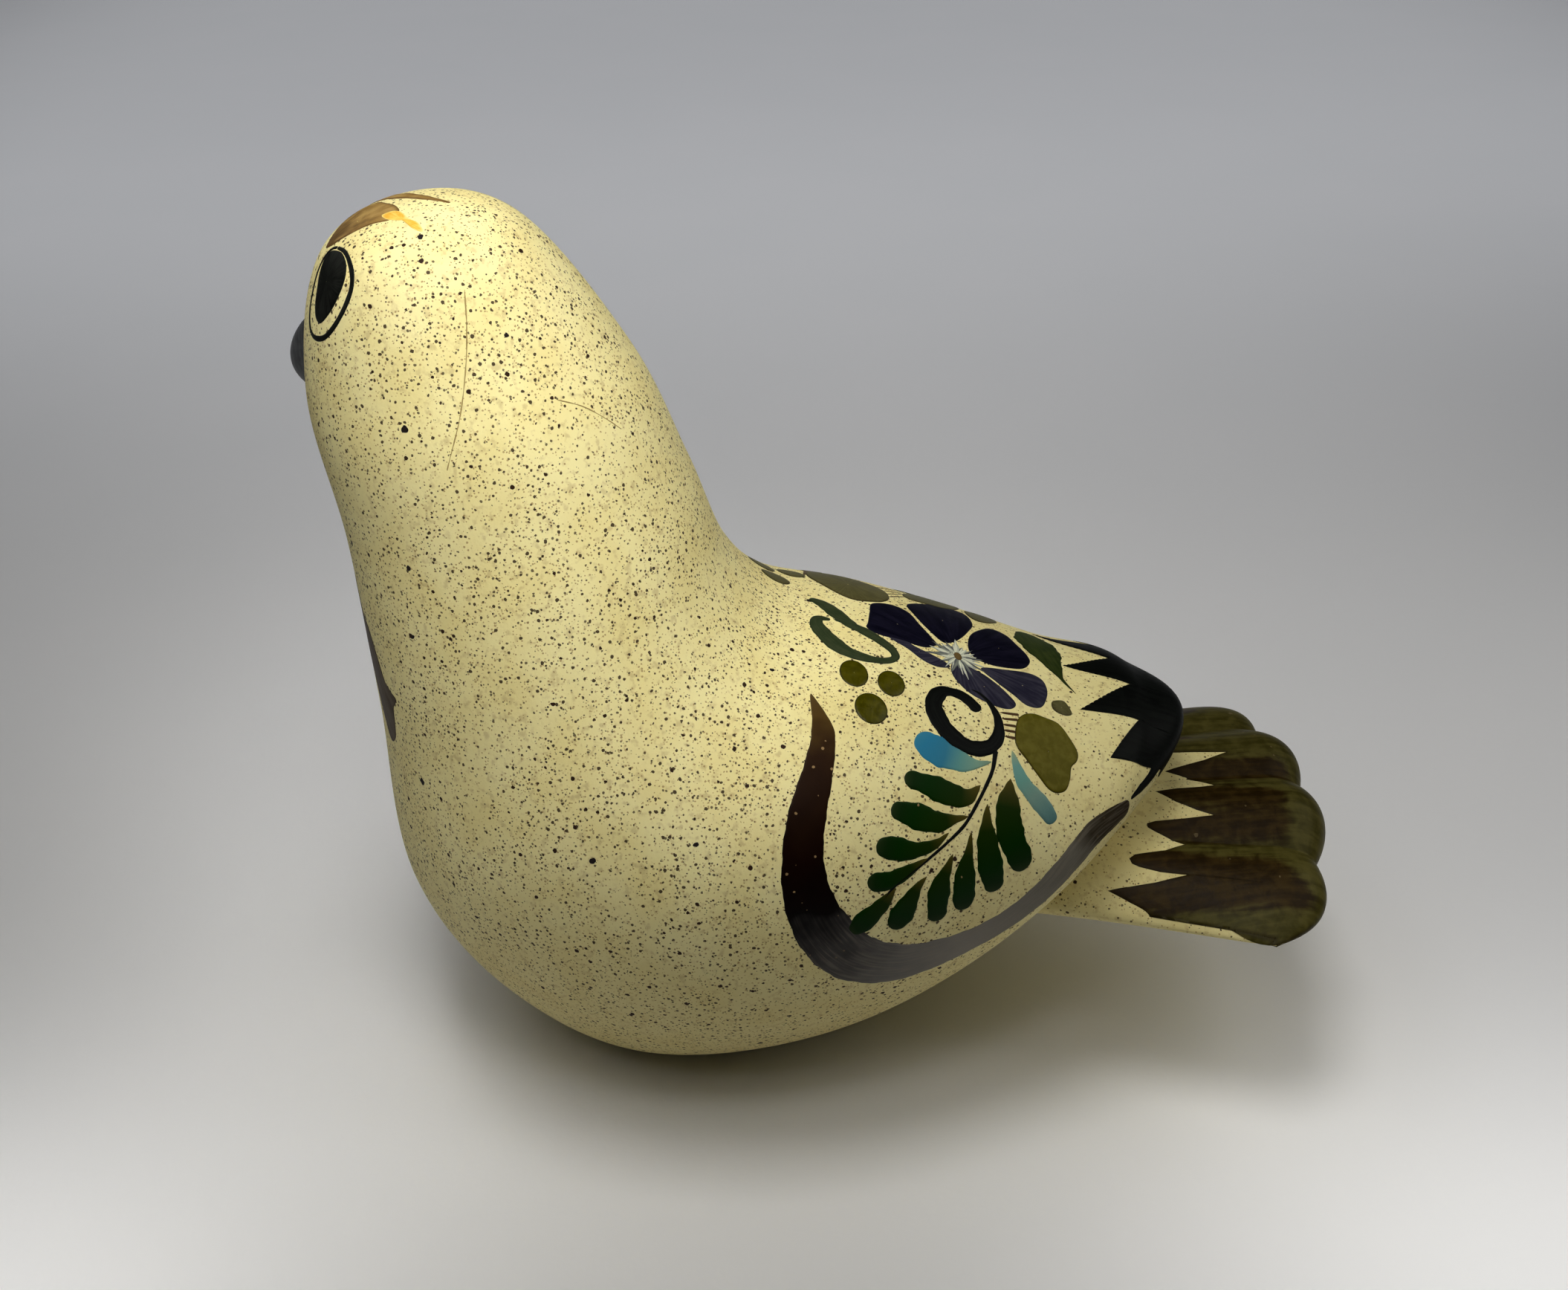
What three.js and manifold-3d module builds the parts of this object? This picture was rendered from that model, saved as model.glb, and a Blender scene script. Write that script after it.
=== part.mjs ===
// A hollow stoneware dove that rests on a small flat foot. Its body is pressed in two
// halves, luted together along the middle of the bird, with a coil of clay along the
// joint inside. A fluted tail fan and a small beak are luted on. Sizes are in
// millimetres, +Z is up, the breast faces -Y and the bird's left side faces +X.
import * as THREE from 'three';
import { mergeVertices } from 'three/addons/utils/BufferGeometryUtils.js';
import Module from 'manifold-3d';

// The body: its length from the breast to the rump, its height from the ground to the
// crown, and how far it reaches to each side.
const bodyLength = 142;
const bodyHeight = 156.5;
const bodyReach = 46;

// Each rib of the body runs from the bird's back to its front. back and front are
// places on the middle plane, as shares of the body's length and height, and reach is
// a share of the body's reach.
const crown = [0.141, 1];
const rump = [1, 0.364];
const ribs = [
  { back: [0.254, 0.974], front: [0.039, 0.955], reach: 0.348 },
  { back: [0.363, 0.834], front: [0, 0.821], reach: 0.543 },
  { back: [0.419, 0.706], front: [0.018, 0.661], reach: 0.641 },
  { back: [0.461, 0.597], front: [0.025, 0.47], reach: 0.761 },
  { back: [0.525, 0.537], front: [0.032, 0.246], reach: 0.913 },
  { back: [0.641, 0.511], front: [0.13, 0.08], reach: 1 },
  { back: [0.754, 0.479], front: [0.289, -0.019], reach: 0.967 },
  { back: [0.859, 0.447], front: [0.532, 0], reach: 0.804 },
  { back: [0.954, 0.425], front: [0.754, 0.141], reach: 0.565 },
];
// How far the widest place of a section moves up towards the back. It grows from
// none at the head to all of it behind the shoulders.
const backBreadth = 0.21;
const broadenStart = 0.1;
const broadenEnd = 0.8;

// The clay and how it is joined.
const wall = 5;
const rumpWall = 10;
const luteGap = 0.3;
const ventBore = 7;
const ventPlace = 0.345 * bodyLength;
const coilDiameter = 6;
const coilGap = 0.8;
const coilTurnStation = 0.88;

// The tail fan, from its root inside the rump to its scalloped end.
const tailLength = 78;
const tailRoot = 0.641 * bodyLength;
const tailEnd = tailRoot + tailLength;
const tailRootHalfWidth = 15.6;
const tailHalfWidth = 37;
const tailRootHeight = 0.233 * bodyHeight;
const tailRise = 4.9;
const tailEndHeight = tailRootHeight + tailRise;
const tailRootThickness = 24;
const tailEndThickness = 14.3;
const tailEdgeDrop = 4.2;
const tailTipRound = 7.5;
const tailEndBow = 5.9;
const tailCorner = 13;
const fluteWidth = 19.8;
const fluteDepth = 2.5;
const scallopDepth = 2.4;
// Shares of the tail's length: where its root is fully open, and where the flutes
// start and reach their depth. tailThinning shapes how it gets thin on the way.
const tailRootOpen = 0.12;
const fluteStart = 0.2;
const fluteFull = 0.8;
const tailThinning = 0.7;

// The beak, on a head that is turned to the bird's right.
const headTurn = 28;
const beakSeatHeight = 0.824 * bodyHeight;
const beakLength = 12;
const beakBaseHeight = 15;
const beakBaseWidth = 11;
const beakDroop = 4;
const beakFullness = 2.2;

// Facets.
const bodyStations = 52;
const bodySides = 44;
const hollowStations = 36;
const hollowSides = 28;
const tailStations = 20;
const tailSides = 64;
const tailTipCrowding = 1.6;
const beakStations = 8;
const beakSides = 16;
const coilSteps = 64;
const coilSides = 8;
const ventSides = 24;
const weldDistance = 1e-4;

const clay = new THREE.MeshStandardMaterial({ color: 0xd9cd93, roughness: 0.85, metalness: 0 });
const tailGlaze = new THREE.MeshStandardMaterial({ color: 0x54502a, roughness: 0.45, metalness: 0 });
const beakGlaze = new THREE.MeshStandardMaterial({ color: 0x3d4146, roughness: 0.4, metalness: 0 });
const rawClay = new THREE.MeshStandardMaterial({ color: 0xb9a77c, roughness: 0.95, metalness: 0 });

const wasm = await Module();
wasm.setup();

// The closed outline on the middle plane, as (half width, y, z): down the back from
// the crown to the rump, with the half width positive, and up the front.
function bodyOutline() {
  const size = new THREE.Vector3(bodyReach, bodyLength, bodyHeight);
  const place = (reach, [along, up]) => new THREE.Vector3(reach, along, up).multiply(size);
  const down = ribs.map(({ back, reach }) => place(reach, back));
  const up = ribs.map(({ front, reach }) => place(-reach, front)).reverse();
  return [place(0, crown), ...down, place(0, rump), ...up];
}

// The outline moved into the clay by a depth, or out of it by a negative one.
function insetOutline(points, depth) {
  return points.map((point, i) => {
    const before = points[(i + points.length - 1) % points.length];
    const after = points[(i + 1) % points.length];
    const inward = new THREE.Vector2(after.z - before.z, before.y - after.y).normalize();
    const reach = Math.sign(point.x) * Math.max(Math.abs(point.x) - depth, 0);
    return new THREE.Vector3(reach, point.y + inward.x * depth, point.z + inward.y * depth);
  });
}

// The skin through an outline. station runs from 0 at the crown to 1 at the rump,
// and angle from 0 on the back over the left side to pi on the front.
function skinOf(points) {
  const curve = new THREE.CatmullRomCurve3(points, true, 'catmullrom', 0.5);
  return (station, angle) => {
    const back = curve.getPoint(station / 2);
    const front = curve.getPoint(1 - station / 2);
    const grown = THREE.MathUtils.smoothstep(station, broadenStart, broadenEnd);
    const breadth = 1 + backBreadth * grown * Math.cos(angle);
    const across = (back.x - front.x) / 2;
    const down = (1 - Math.cos(angle)) / 2;
    return new THREE.Vector3(
      across * Math.sin(angle) * breadth,
      THREE.MathUtils.lerp(back.y, front.y, down),
      THREE.MathUtils.lerp(back.z, front.z, down),
    );
  };
}

// Joins triangles into a geometry with shared corners, without the ones that the
// ends of a surface pinch to nothing.
function weld(triangles) {
  const geometry = new THREE.BufferGeometry().setFromPoints(triangles.flat());
  const merged = mergeVertices(geometry, weldDistance);
  const index = [];
  for (let i = 0; i < merged.index.count; i += 3) {
    const corners = [0, 1, 2].map((k) => merged.index.getX(i + k));
    if (new Set(corners).size === 3) {
      index.push(...corners);
    }
  }
  return merged.setIndex(index);
}

// Triangles over a surface, by its stations and by sides over a part of a turn.
function gridTriangles(surface, stations, sides, turn = 2 * Math.PI) {
  const triangles = [];
  for (let i = 0; i < stations; i += 1) {
    for (let j = 0; j < sides; j += 1) {
      const corner = (m, n) => surface((i + m) / stations, ((j + n) * turn) / sides);
      triangles.push([corner(0, 0), corner(1, 1), corner(1, 0)]);
      triangles.push([corner(0, 0), corner(0, 1), corner(1, 1)]);
    }
  }
  return triangles;
}

function solidOf(geometry) {
  return new wasm.Manifold(new wasm.Mesh({
    numProp: 3,
    vertProperties: new Float32Array(geometry.attributes.position.array),
    triVerts: new Uint32Array(geometry.index.array),
  }));
}

// A solid inside a surface that closes at both its ends.
function closedSolid(surface, stations, sides) {
  return solidOf(weld(gridTriangles(surface, stations, sides)));
}

// A solid of a standard geometry, put in its place.
function placedSolid(geometry, matrix) {
  geometry.deleteAttribute('normal');
  geometry.deleteAttribute('uv');
  return solidOf(mergeVertices(geometry.applyMatrix4(matrix), weldDistance));
}

function meshOf(name, solid, material) {
  const { vertProperties, triVerts } = solid.getMesh();
  const geometry = new THREE.BufferGeometry();
  geometry.setAttribute('position', new THREE.BufferAttribute(vertProperties, 3));
  geometry.setIndex(new THREE.BufferAttribute(triVerts, 1));
  geometry.computeVertexNormals();
  const mesh = new THREE.Mesh(geometry, material);
  mesh.name = name;
  return mesh;
}

// The outline of the hollow. It stops short of the rump's lip, and it is raised at
// the foot so that the wall there is whole.
function hollowOf(points) {
  const inset = insetOutline(points, wall);
  const lip = points[ribs.length + 1];
  const lastRib = points[ribs.length].clone().lerp(points[ribs.length + 2], 0.5);
  inset[ribs.length + 1] = lip.clone().addScaledVector(lastRib.sub(lip).normalize(), rumpWall);
  inset.forEach((point) => point.setZ(Math.max(point.z, wall)));
  return inset;
}

const outline = bodyOutline();
const hollowOutline = hollowOf(outline);
const outside = skinOf(outline);
const hollow = skinOf(hollowOutline);
const luteSurface = skinOf(insetOutline(outline, -luteGap));

// Everything below the ground plane, which cuts the foot flat.
function belowGround() {
  const span = 4 * tailEnd;
  const matrix = new THREE.Matrix4().makeTranslation(0, 0, -span / 2);
  return placedSolid(new THREE.BoxGeometry(span, span, span), matrix);
}

// The hole in the foot that lets air out of the hollow in the kiln.
function ventHole() {
  const geometry = new THREE.CylinderGeometry(ventBore / 2, ventBore / 2, 4 * wall, ventSides);
  geometry.rotateX(Math.PI / 2);
  return placedSolid(geometry, new THREE.Matrix4().makeTranslation(0, ventPlace, 0));
}

// Points of a skin on the middle plane: down the back and up the front.
function seamLoop(surface, stations) {
  const back = Array.from({ length: stations }, (_, i) => surface(i / stations, 0));
  const front = Array.from({ length: stations }, (_, i) => surface(1 - i / stations, Math.PI));
  return [...back, ...front].map((point) => point.setX(0));
}

// The flat clay face on the middle plane, between the outside and the hollow.
function seamTriangles() {
  const loops = [seamLoop(outside, bodyStations), seamLoop(hollow, hollowStations)];
  const [edge, hole] = loops.map((loop) => loop.map((point) => new THREE.Vector2(point.y, point.z)));
  const corners = loops.flat();
  const faces = THREE.ShapeUtils.triangulateShape(edge, [hole]);
  return faces.map((face) => face.map((k) => corners[k]).reverse());
}

// One pressed half of the body: the left one for side 1, the right one for side -1.
function bodyHalf(side) {
  const outer = gridTriangles(outside, bodyStations, bodySides / 2, Math.PI);
  const inner = gridTriangles(hollow, hollowStations, hollowSides / 2, Math.PI);
  const faces = [...outer, ...inner.map((face) => face.reverse()), ...seamTriangles()];
  const placed = faces.map((face) => face.map((point) => {
    const x = Math.abs(point.x) < 1e-6 ? 0 : side * point.x;
    return new THREE.Vector3(x, point.y, point.z);
  }));
  const turned = side > 0 ? placed : placed.map((face) => face.reverse());
  return solidOf(weld(turned)).subtract(belowGround()).subtract(ventHole());
}

// The space that the luted body takes, which the tail and the beak are cut to.
function luteSpace() {
  return closedSolid(luteSurface, bodyStations, bodySides);
}

// How much of a flute's fullness is left at a place across the fan.
function fluteCrest(across) {
  return Math.abs(Math.sin((Math.PI * across * tailHalfWidth) / fluteWidth));
}

// The tail's skin. along runs from 0 inside the rump to 1 at the scalloped end.
function tailSkin(along, angle) {
  const across = Math.sin(angle);
  const flute = 1 - fluteCrest(across);
  const bow = tailEndBow * across ** 2 + tailCorner * across ** 6;
  const full = tailEnd - bow - scallopDepth * flute;
  const u = 1 - (1 - along) ** tailTipCrowding;
  const y = THREE.MathUtils.lerp(tailRoot, full, u);
  const halfWidth = THREE.MathUtils.lerp(tailRootHalfWidth, tailHalfWidth, u);
  const height = THREE.MathUtils.lerp(tailRootHeight, tailEndHeight, u);
  const open = Math.min(1, u / tailRootOpen);
  const toTip = THREE.MathUtils.clamp(1 - (full - y) / tailTipRound, 0, 1);
  const roundTip = Math.sqrt(1 - toTip ** 2);
  const thickness = THREE.MathUtils.lerp(tailRootThickness, tailEndThickness, u ** tailThinning);
  const depth = fluteDepth * flute * THREE.MathUtils.smoothstep(u, fluteStart, fluteFull);
  const half = Math.max(thickness / 2 - depth, 1) * roundTip * open;
  const drop = tailEdgeDrop * u * across ** 2;
  return new THREE.Vector3(
    halfWidth * across * open,
    y,
    height - drop + half * Math.cos(angle),
  );
}

function tailFan() {
  return closedSolid(tailSkin, tailStations, tailSides).subtract(luteSpace());
}

// Where the beak sits: the middle of the head at the beak's height, and the head's
// mean radius there.
function beakSeat() {
  const levels = Array.from({ length: bodyStations * 4 }, (_, i) => i / (bodyStations * 8));
  const sections = levels.map((station) => {
    const [back, side, front] = [0, 0.5, 1].map((turn) => outside(station, turn * Math.PI));
    const centre = back.clone().lerp(front, 0.5);
    return { centre, radius: (back.distanceTo(front) / 2 + side.x) / 2 };
  });
  const misses = sections.map(({ centre }) => Math.abs(centre.z - beakSeatHeight));
  return sections[misses.indexOf(Math.min(...misses))];
}

// The beak's skin, from inside the head out to its drooping tip.
function beakSkin({ centre, radius }) {
  const forward = new THREE.Vector3(0, -1, 0);
  forward.applyAxisAngle(new THREE.Vector3(0, 0, 1), -THREE.MathUtils.degToRad(headTurn));
  const sideways = forward.clone().cross(new THREE.Vector3(0, 0, 1));
  const root = radius / 2;
  const length = radius + beakLength - root;
  return (along, angle) => {
    const girth = Math.sqrt(1 - along ** beakFullness) * Math.min(1, along * beakStations);
    const point = centre.clone().addScaledVector(forward, root + length * along);
    point.addScaledVector(sideways, (beakBaseWidth / 2) * girth * Math.sin(angle));
    point.z += (beakBaseHeight / 2) * girth * Math.cos(angle) - beakDroop * along ** 2;
    return point;
  };
}

function beak() {
  return closedSolid(beakSkin(beakSeat()), beakStations, beakSides).subtract(luteSpace());
}

// The coil of clay that seals the joint inside. It runs from one side of the vent
// round the whole seam to the other side, and turns short of the narrow rump.
function seamCoil() {
  const radius = coilDiameter / 2;
  const depth = radius + coilGap;
  const middle = skinOf(insetOutline(hollowOutline, depth));
  const loop = seamLoop((station, angle) => middle(station * coilTurnStation, angle), coilSteps / 2);
  const clear = ventBore / 2 + radius;
  const overVent = (point) => point.z < 4 * wall && Math.abs(point.y - ventPlace) < clear;
  const first = loop.findIndex((point, i) => !overVent(point) && overVent(loop.at(i - 1)));
  const ordered = [...loop.slice(first), ...loop.slice(0, first)].filter((point) => !overVent(point));
  const extrudePath = new THREE.CatmullRomCurve3(ordered, false, 'centripetal');
  const shape = new THREE.Shape().absarc(0, 0, radius, 0, 2 * Math.PI);
  const options = { extrudePath, steps: coilSteps, bevelEnabled: false, curveSegments: coilSides };
  return placedSolid(new THREE.ExtrudeGeometry(shape, options), new THREE.Matrix4());
}

const bird = new THREE.Group();
bird.add(meshOf('body_left_half', bodyHalf(1), clay));
bird.add(meshOf('body_right_half', bodyHalf(-1), clay));
bird.add(meshOf('seam_coil', seamCoil(), rawClay));
bird.add(meshOf('tail_fan', tailFan(), tailGlaze));
bird.add(meshOf('beak', beak(), beakGlaze));

// The origin lies on the ground, under the middle of the whole bird.
const bounds = new THREE.Box3().setFromObject(bird);
bird.position.setY(-(bounds.min.y + bounds.max.y) / 2);

export default bird;
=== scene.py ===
"""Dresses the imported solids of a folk-painted stoneware dove in clay, slip and glaze.

Lengths are in millimetres until a mesh is made. They are measured in the maker's own
axes: x to the bird's left, y from the breast towards the tail, z up from the ground.
"""

from __future__ import annotations

import logging
import math
from dataclasses import dataclass, field, replace
from enum import Enum
from operator import itemgetter

import bmesh
import bpy
import numpy as np
from bpy.types import Material, Node, NodeSocket, Object
from mathutils import Matrix, Vector
from mathutils.bvhtree import BVHTree
from mathutils.geometry import tessellate_polygon


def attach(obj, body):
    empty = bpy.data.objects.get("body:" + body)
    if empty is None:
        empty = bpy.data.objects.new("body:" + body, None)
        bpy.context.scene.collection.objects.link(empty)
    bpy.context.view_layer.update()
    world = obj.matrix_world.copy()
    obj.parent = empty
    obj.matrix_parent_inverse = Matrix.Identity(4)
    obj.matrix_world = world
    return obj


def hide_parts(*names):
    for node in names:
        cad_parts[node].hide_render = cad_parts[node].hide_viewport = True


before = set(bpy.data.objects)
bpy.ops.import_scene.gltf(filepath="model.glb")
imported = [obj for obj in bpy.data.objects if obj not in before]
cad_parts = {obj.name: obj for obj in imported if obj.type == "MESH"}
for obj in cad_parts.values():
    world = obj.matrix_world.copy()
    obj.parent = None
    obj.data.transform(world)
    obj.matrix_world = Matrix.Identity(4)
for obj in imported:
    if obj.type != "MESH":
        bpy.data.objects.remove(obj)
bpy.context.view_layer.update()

MM = 0.001
# How far the frame's origin, under the middle of the bird, lies behind the breast.
ORIGIN_Y = 80.667
# The bare clay lies this far inside the solids, which leaves room for the glaze.
GLAZE_ROOM = 0.2
# The edge of the glaze starts this far under the clay.
GLAZE_ROOT = 0.04
# How far the head is turned to the bird's right, in degrees.
HEAD_TURN = 28.0
# The rim that a finish reads where its colour along the edge doesn't show.
FAR_FROM_EDGE = 9.0
PHOTO_WIDTH = 2110

Array = np.ndarray
Point = tuple[float, float]
Place = tuple[float, float, float]
Line = tuple[Point, ...]
Widths = tuple[float, ...]
Colour = tuple[float, float, float]
Shade = tuple[int, int, int]
log = logging.getLogger("dove")


class Side(Enum):
    """A side of the bird, as the sign of its x."""

    LEFT = 1
    RIGHT = -1


class End(Enum):
    """How a brush stroke stops."""

    ROUND = "round"
    POINTED = "pointed"


def linear(shade: Shade) -> Colour:
    """Turns a colour as seen on a screen into the linear one that nodes use.

    Args:
        shade: Red, green and blue, from 0 to 255.

    Returns:
        The same three, from 0 to 1.
    """
    parts = np.array(shade) / 255
    low = parts / 12.92
    high = ((parts + 0.055) / 1.055) ** 2.4
    return tuple(np.where(parts <= 0.04045, low, high).tolist())


def smoothstep(value: Array, start: float, end: float) -> Array:
    """Rises smoothly from 0 to 1.

    Args:
        value: Where to read the rise.
        start: The value at which it is still 0.
        end: The value from which it is 1.

    Returns:
        The height of the rise at each value.
    """
    share = np.clip((value - start) / (end - start), 0, 1)
    return share * share * (3 - 2 * share)


def spline(points: Array, places: Array, closed: bool = False) -> Array:
    """Reads a uniform Catmull-Rom curve.

    Args:
        points: The points that the curve runs through, one a row.
        places: Where to read it, from 0 at its start to 1 at its end.
        closed: Whether the curve joins its end to its start.

    Returns:
        The curve's points, one a row for each place.
    """
    count = len(points)
    spans = count if closed else count - 1
    reach = np.asarray(places, float) * spans
    first = np.minimum(np.floor(reach), spans if closed else spans - 1).astype(int)
    share = (reach - first)[..., None]
    if closed:
        before, start, end, after = (points[(first + k) % count] for k in (-1, 0, 1, 2))
    else:
        padded = np.vstack([2 * points[0] - points[1], points, 2 * points[-1] - points[-2]])
        before, start, end, after = (padded[first + k] for k in (0, 1, 2, 3))
    leave = (end - before) / 2
    arrive = (after - start) / 2
    square = (-3 * start + 3 * end - 2 * leave - arrive) * share**2
    cube = (2 * start - 2 * end + leave + arrive) * share**3
    return start + leave * share + square + cube


def unit(vectors: Array) -> Array:
    """Scales vectors, one a row, to a length of 1."""
    return vectors / np.maximum(np.linalg.norm(vectors, axis=-1, keepdims=True), 1e-12)


def run_along(points: Array) -> Array:
    """Measures how far along a line each of its points lies."""
    return np.concatenate([[0], np.cumsum(np.linalg.norm(np.diff(points, axis=0), axis=1))])


def read_line(places: Array, run: Array, points: Array) -> Array:
    """Reads a line that runs straight between its points.

    Args:
        places: Where to read it.
        run: The place of each of its points.
        points: The points, one a row.

    Returns:
        The line's points, one a row for each place.
    """
    return np.stack([np.interp(places, run, column) for column in points.T], -1)


def ring(middle: Point, wide: float, high: float, lean: float = 0.0, count: int = 10) -> Line:
    """Draws an oval.

    Args:
        middle: Its middle.
        wide: Half its width.
        high: Half its height.
        lean: How far it leans, in radians.
        count: How many points it has.

    Returns:
        Its outline.
    """
    turns = np.linspace(0, 2 * np.pi, count, endpoint=False)
    x, y = middle
    return tuple((x + wide * math.cos(t), y + high * math.sin(t - lean)) for t in turns)


def grid_faces(rows: int, columns: int, closed: bool = False) -> Array:
    """Lists the quads of a grid whose points are stored row by row.

    Args:
        rows: How many rows of points there are.
        columns: How many points each row has.
        closed: Whether the last column joins the first.

    Returns:
        The four point numbers of each quad.
    """
    i, j = np.meshgrid(
        np.arange(rows - 1), np.arange(columns if closed else columns - 1), indexing="ij"
    )
    after = (j + 1) % columns
    corners = (i * columns + j, (i + 1) * columns + j, (i + 1) * columns + after)
    return np.stack([*corners, i * columns + after], -1).reshape(-1, 4)


def grid_loop(rows: int, columns: int, start: int = 0) -> list[int]:
    """Lists the points down a grid's first column and up its last one.

    Args:
        rows: How many rows of points the grid has.
        columns: How many points each row has.
        start: The number of its first point.

    Returns:
        The point numbers.
    """
    down = [start + i * columns for i in range(rows)]
    return down + [start + i * columns + columns - 1 for i in range(rows - 2, 0, -1)]


def to_frame(place: Place) -> Vector:
    """Turns a place in the maker's axes into one in the frame's, in metres."""
    return (Vector(place) - Vector((0, ORIGIN_Y, 0))) * MM


def new_object(name: str, verts: Array, faces: list[list[int]]) -> Object:
    """Makes a smooth-shaded object from points in the maker's axes.

    Args:
        name: The object's name.
        verts: The points, in millimetres.
        faces: The point numbers of each face.

    Returns:
        The object, in metres and in the frame's axes.
    """
    mesh = bpy.data.meshes.new(name)
    placed = (np.asarray(verts, float) - [0, ORIGIN_Y, 0]) * MM
    mesh.from_pydata(placed.tolist(), [], faces)
    mesh.shade_smooth()
    made = bpy.data.objects.new(name, mesh)
    bpy.context.scene.collection.objects.link(made)
    return made


def weld(made: Object, distance: float = 0.002, outwards: bool = False) -> None:
    """Joins an object's points that lie together, and drops faces without area.

    Args:
        made: The object.
        distance: How near two points lie to be joined, in millimetres.
        outwards: Whether to turn all faces outwards too, if the object is closed.
    """
    work = bmesh.new()
    work.from_mesh(made.data)
    bmesh.ops.remove_doubles(work, verts=work.verts, dist=distance * MM)
    bmesh.ops.dissolve_degenerate(work, dist=distance * MM / 4, edges=work.edges)
    if outwards:
        bmesh.ops.recalc_face_normals(work, faces=work.faces)
    work.to_mesh(made.data)
    work.free()


def read_each(parts: object, name: str, width: int = 3, kind: type = float) -> Array:
    """Reads a value of each vertex, corner or face of a mesh.

    Args:
        parts: The mesh's own list of them.
        name: Blender's name for the value.
        width: How many numbers the value has.
        kind: The type of the numbers.

    Returns:
        The values, one a row.
    """
    values = np.empty(len(parts) * width, kind)
    parts.foreach_get(name, values)
    return values.reshape(-1, width)


def store_grain(made: Object, grain: Array, rim: Array) -> None:
    """Stores at an object's points what its finish reads.

    Args:
        made: The object.
        grain: The grain, as a patch has it.
        rim: How far each point is from the glaze's edge.
    """
    marks = (("grain", "FLOAT_VECTOR", "vector", grain), ("rim", "FLOAT", "value", rim))
    for name, kind, value, numbers in marks:
        made.data.attributes.new(name, kind, "POINT").data.foreach_set(value, numbers.ravel())


def settle_piece(made: Object) -> Object:
    """Lets a piece ride on the bird, and reports it.

    Args:
        made: The piece.

    Returns:
        The piece.
    """
    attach(made, "root")
    log.info("%s: %d faces", made.name, len(made.data.polygons))
    return made


@dataclass(frozen=True)
class Rib:
    """A section of the body.

    Attributes:
        back: Its place on the back, as shares of the body's length and height.
        front: Its place on the front, in the same shares.
        reach: Its half width, as a share of the body's reach.
    """

    back: Point
    front: Point
    reach: float


@dataclass
class BodyForm:
    """The shape of the body and head, the same one that the solids have."""

    length: float = 142.0
    height: float = 156.5
    reach: float = 46.0
    crown: Point = (0.141, 1.0)
    rump: Point = (1.0, 0.364)
    ribs: tuple[Rib, ...] = (
        Rib((0.254, 0.974), (0.039, 0.955), 0.348),
        Rib((0.363, 0.834), (0.0, 0.821), 0.543),
        Rib((0.419, 0.706), (0.018, 0.661), 0.641),
        Rib((0.461, 0.597), (0.025, 0.47), 0.761),
        Rib((0.525, 0.537), (0.032, 0.246), 0.913),
        Rib((0.641, 0.511), (0.13, 0.08), 1.0),
        Rib((0.754, 0.479), (0.289, -0.019), 0.967),
        Rib((0.859, 0.447), (0.532, 0.0), 0.804),
        Rib((0.954, 0.425), (0.754, 0.141), 0.565),
    )
    back_breadth: float = 0.21
    wall: float = 5.0
    rump_wall: float = 10.0

    def outline(self) -> Array:
        """Lists (half width, y, z) down the back and up the front.

        Returns:
            The outline's points, one a row.
        """
        down = [(rib.reach, *rib.back) for rib in self.ribs]
        up = [(-rib.reach, *rib.front) for rib in reversed(self.ribs)]
        shares = np.array([(0, *self.crown), *down, (0, *self.rump), *up])
        return shares * [self.reach, self.length, self.height]

    def hollow_outline(self) -> Array:
        """Moves the outline into the clay by the wall.

        Returns:
            The hollow's outline, one point a row.
        """
        points = self.outline()
        ahead = np.roll(points, -1, axis=0)
        behind = np.roll(points, 1, axis=0)
        inward = unit(np.stack([ahead[:, 2] - behind[:, 2], behind[:, 1] - ahead[:, 1]], -1))
        inset = points.copy()
        inset[:, 0] = np.sign(points[:, 0]) * np.maximum(np.abs(points[:, 0]) - self.wall, 0)
        inset[:, 1:] += inward * self.wall
        lip = len(self.ribs) + 1
        last = (points[lip - 1] + points[lip + 1]) / 2
        inset[lip] = points[lip] + unit(last - points[lip]) * self.rump_wall
        inset[:, 2] = np.maximum(inset[:, 2], self.wall)
        return inset

    def skin(self, points: Array, station: Array, angle: Array) -> Array:
        """Reads the surface through an outline.

        Args:
            points: The outline.
            station: From 0 at the crown to 1 at the rump.
            angle: From 0 on the back, over the left side, to pi on the front.

        Returns:
            The surface's points.
        """
        station, angle = np.broadcast_arrays(station, angle)
        back = spline(points, station / 2, closed=True)
        front = spline(points, 1 - station / 2, closed=True)
        grown = smoothstep(station, 0.1, 0.8)
        breadth = 1 + self.back_breadth * grown * np.cos(angle)
        across = (back[..., 0] - front[..., 0]) / 2 * np.sin(angle) * breadth
        down = ((1 - np.cos(angle)) / 2)[..., None]
        middle = back[..., 1:] + (front[..., 1:] - back[..., 1:]) * down
        return np.concatenate([across[..., None], middle], -1)

    def outside(self, station: Array, angle: Array) -> Array:
        """Reads the outer surface, without the ground's cut, as skin does."""
        return self.skin(self.outline(), station, angle)


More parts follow.
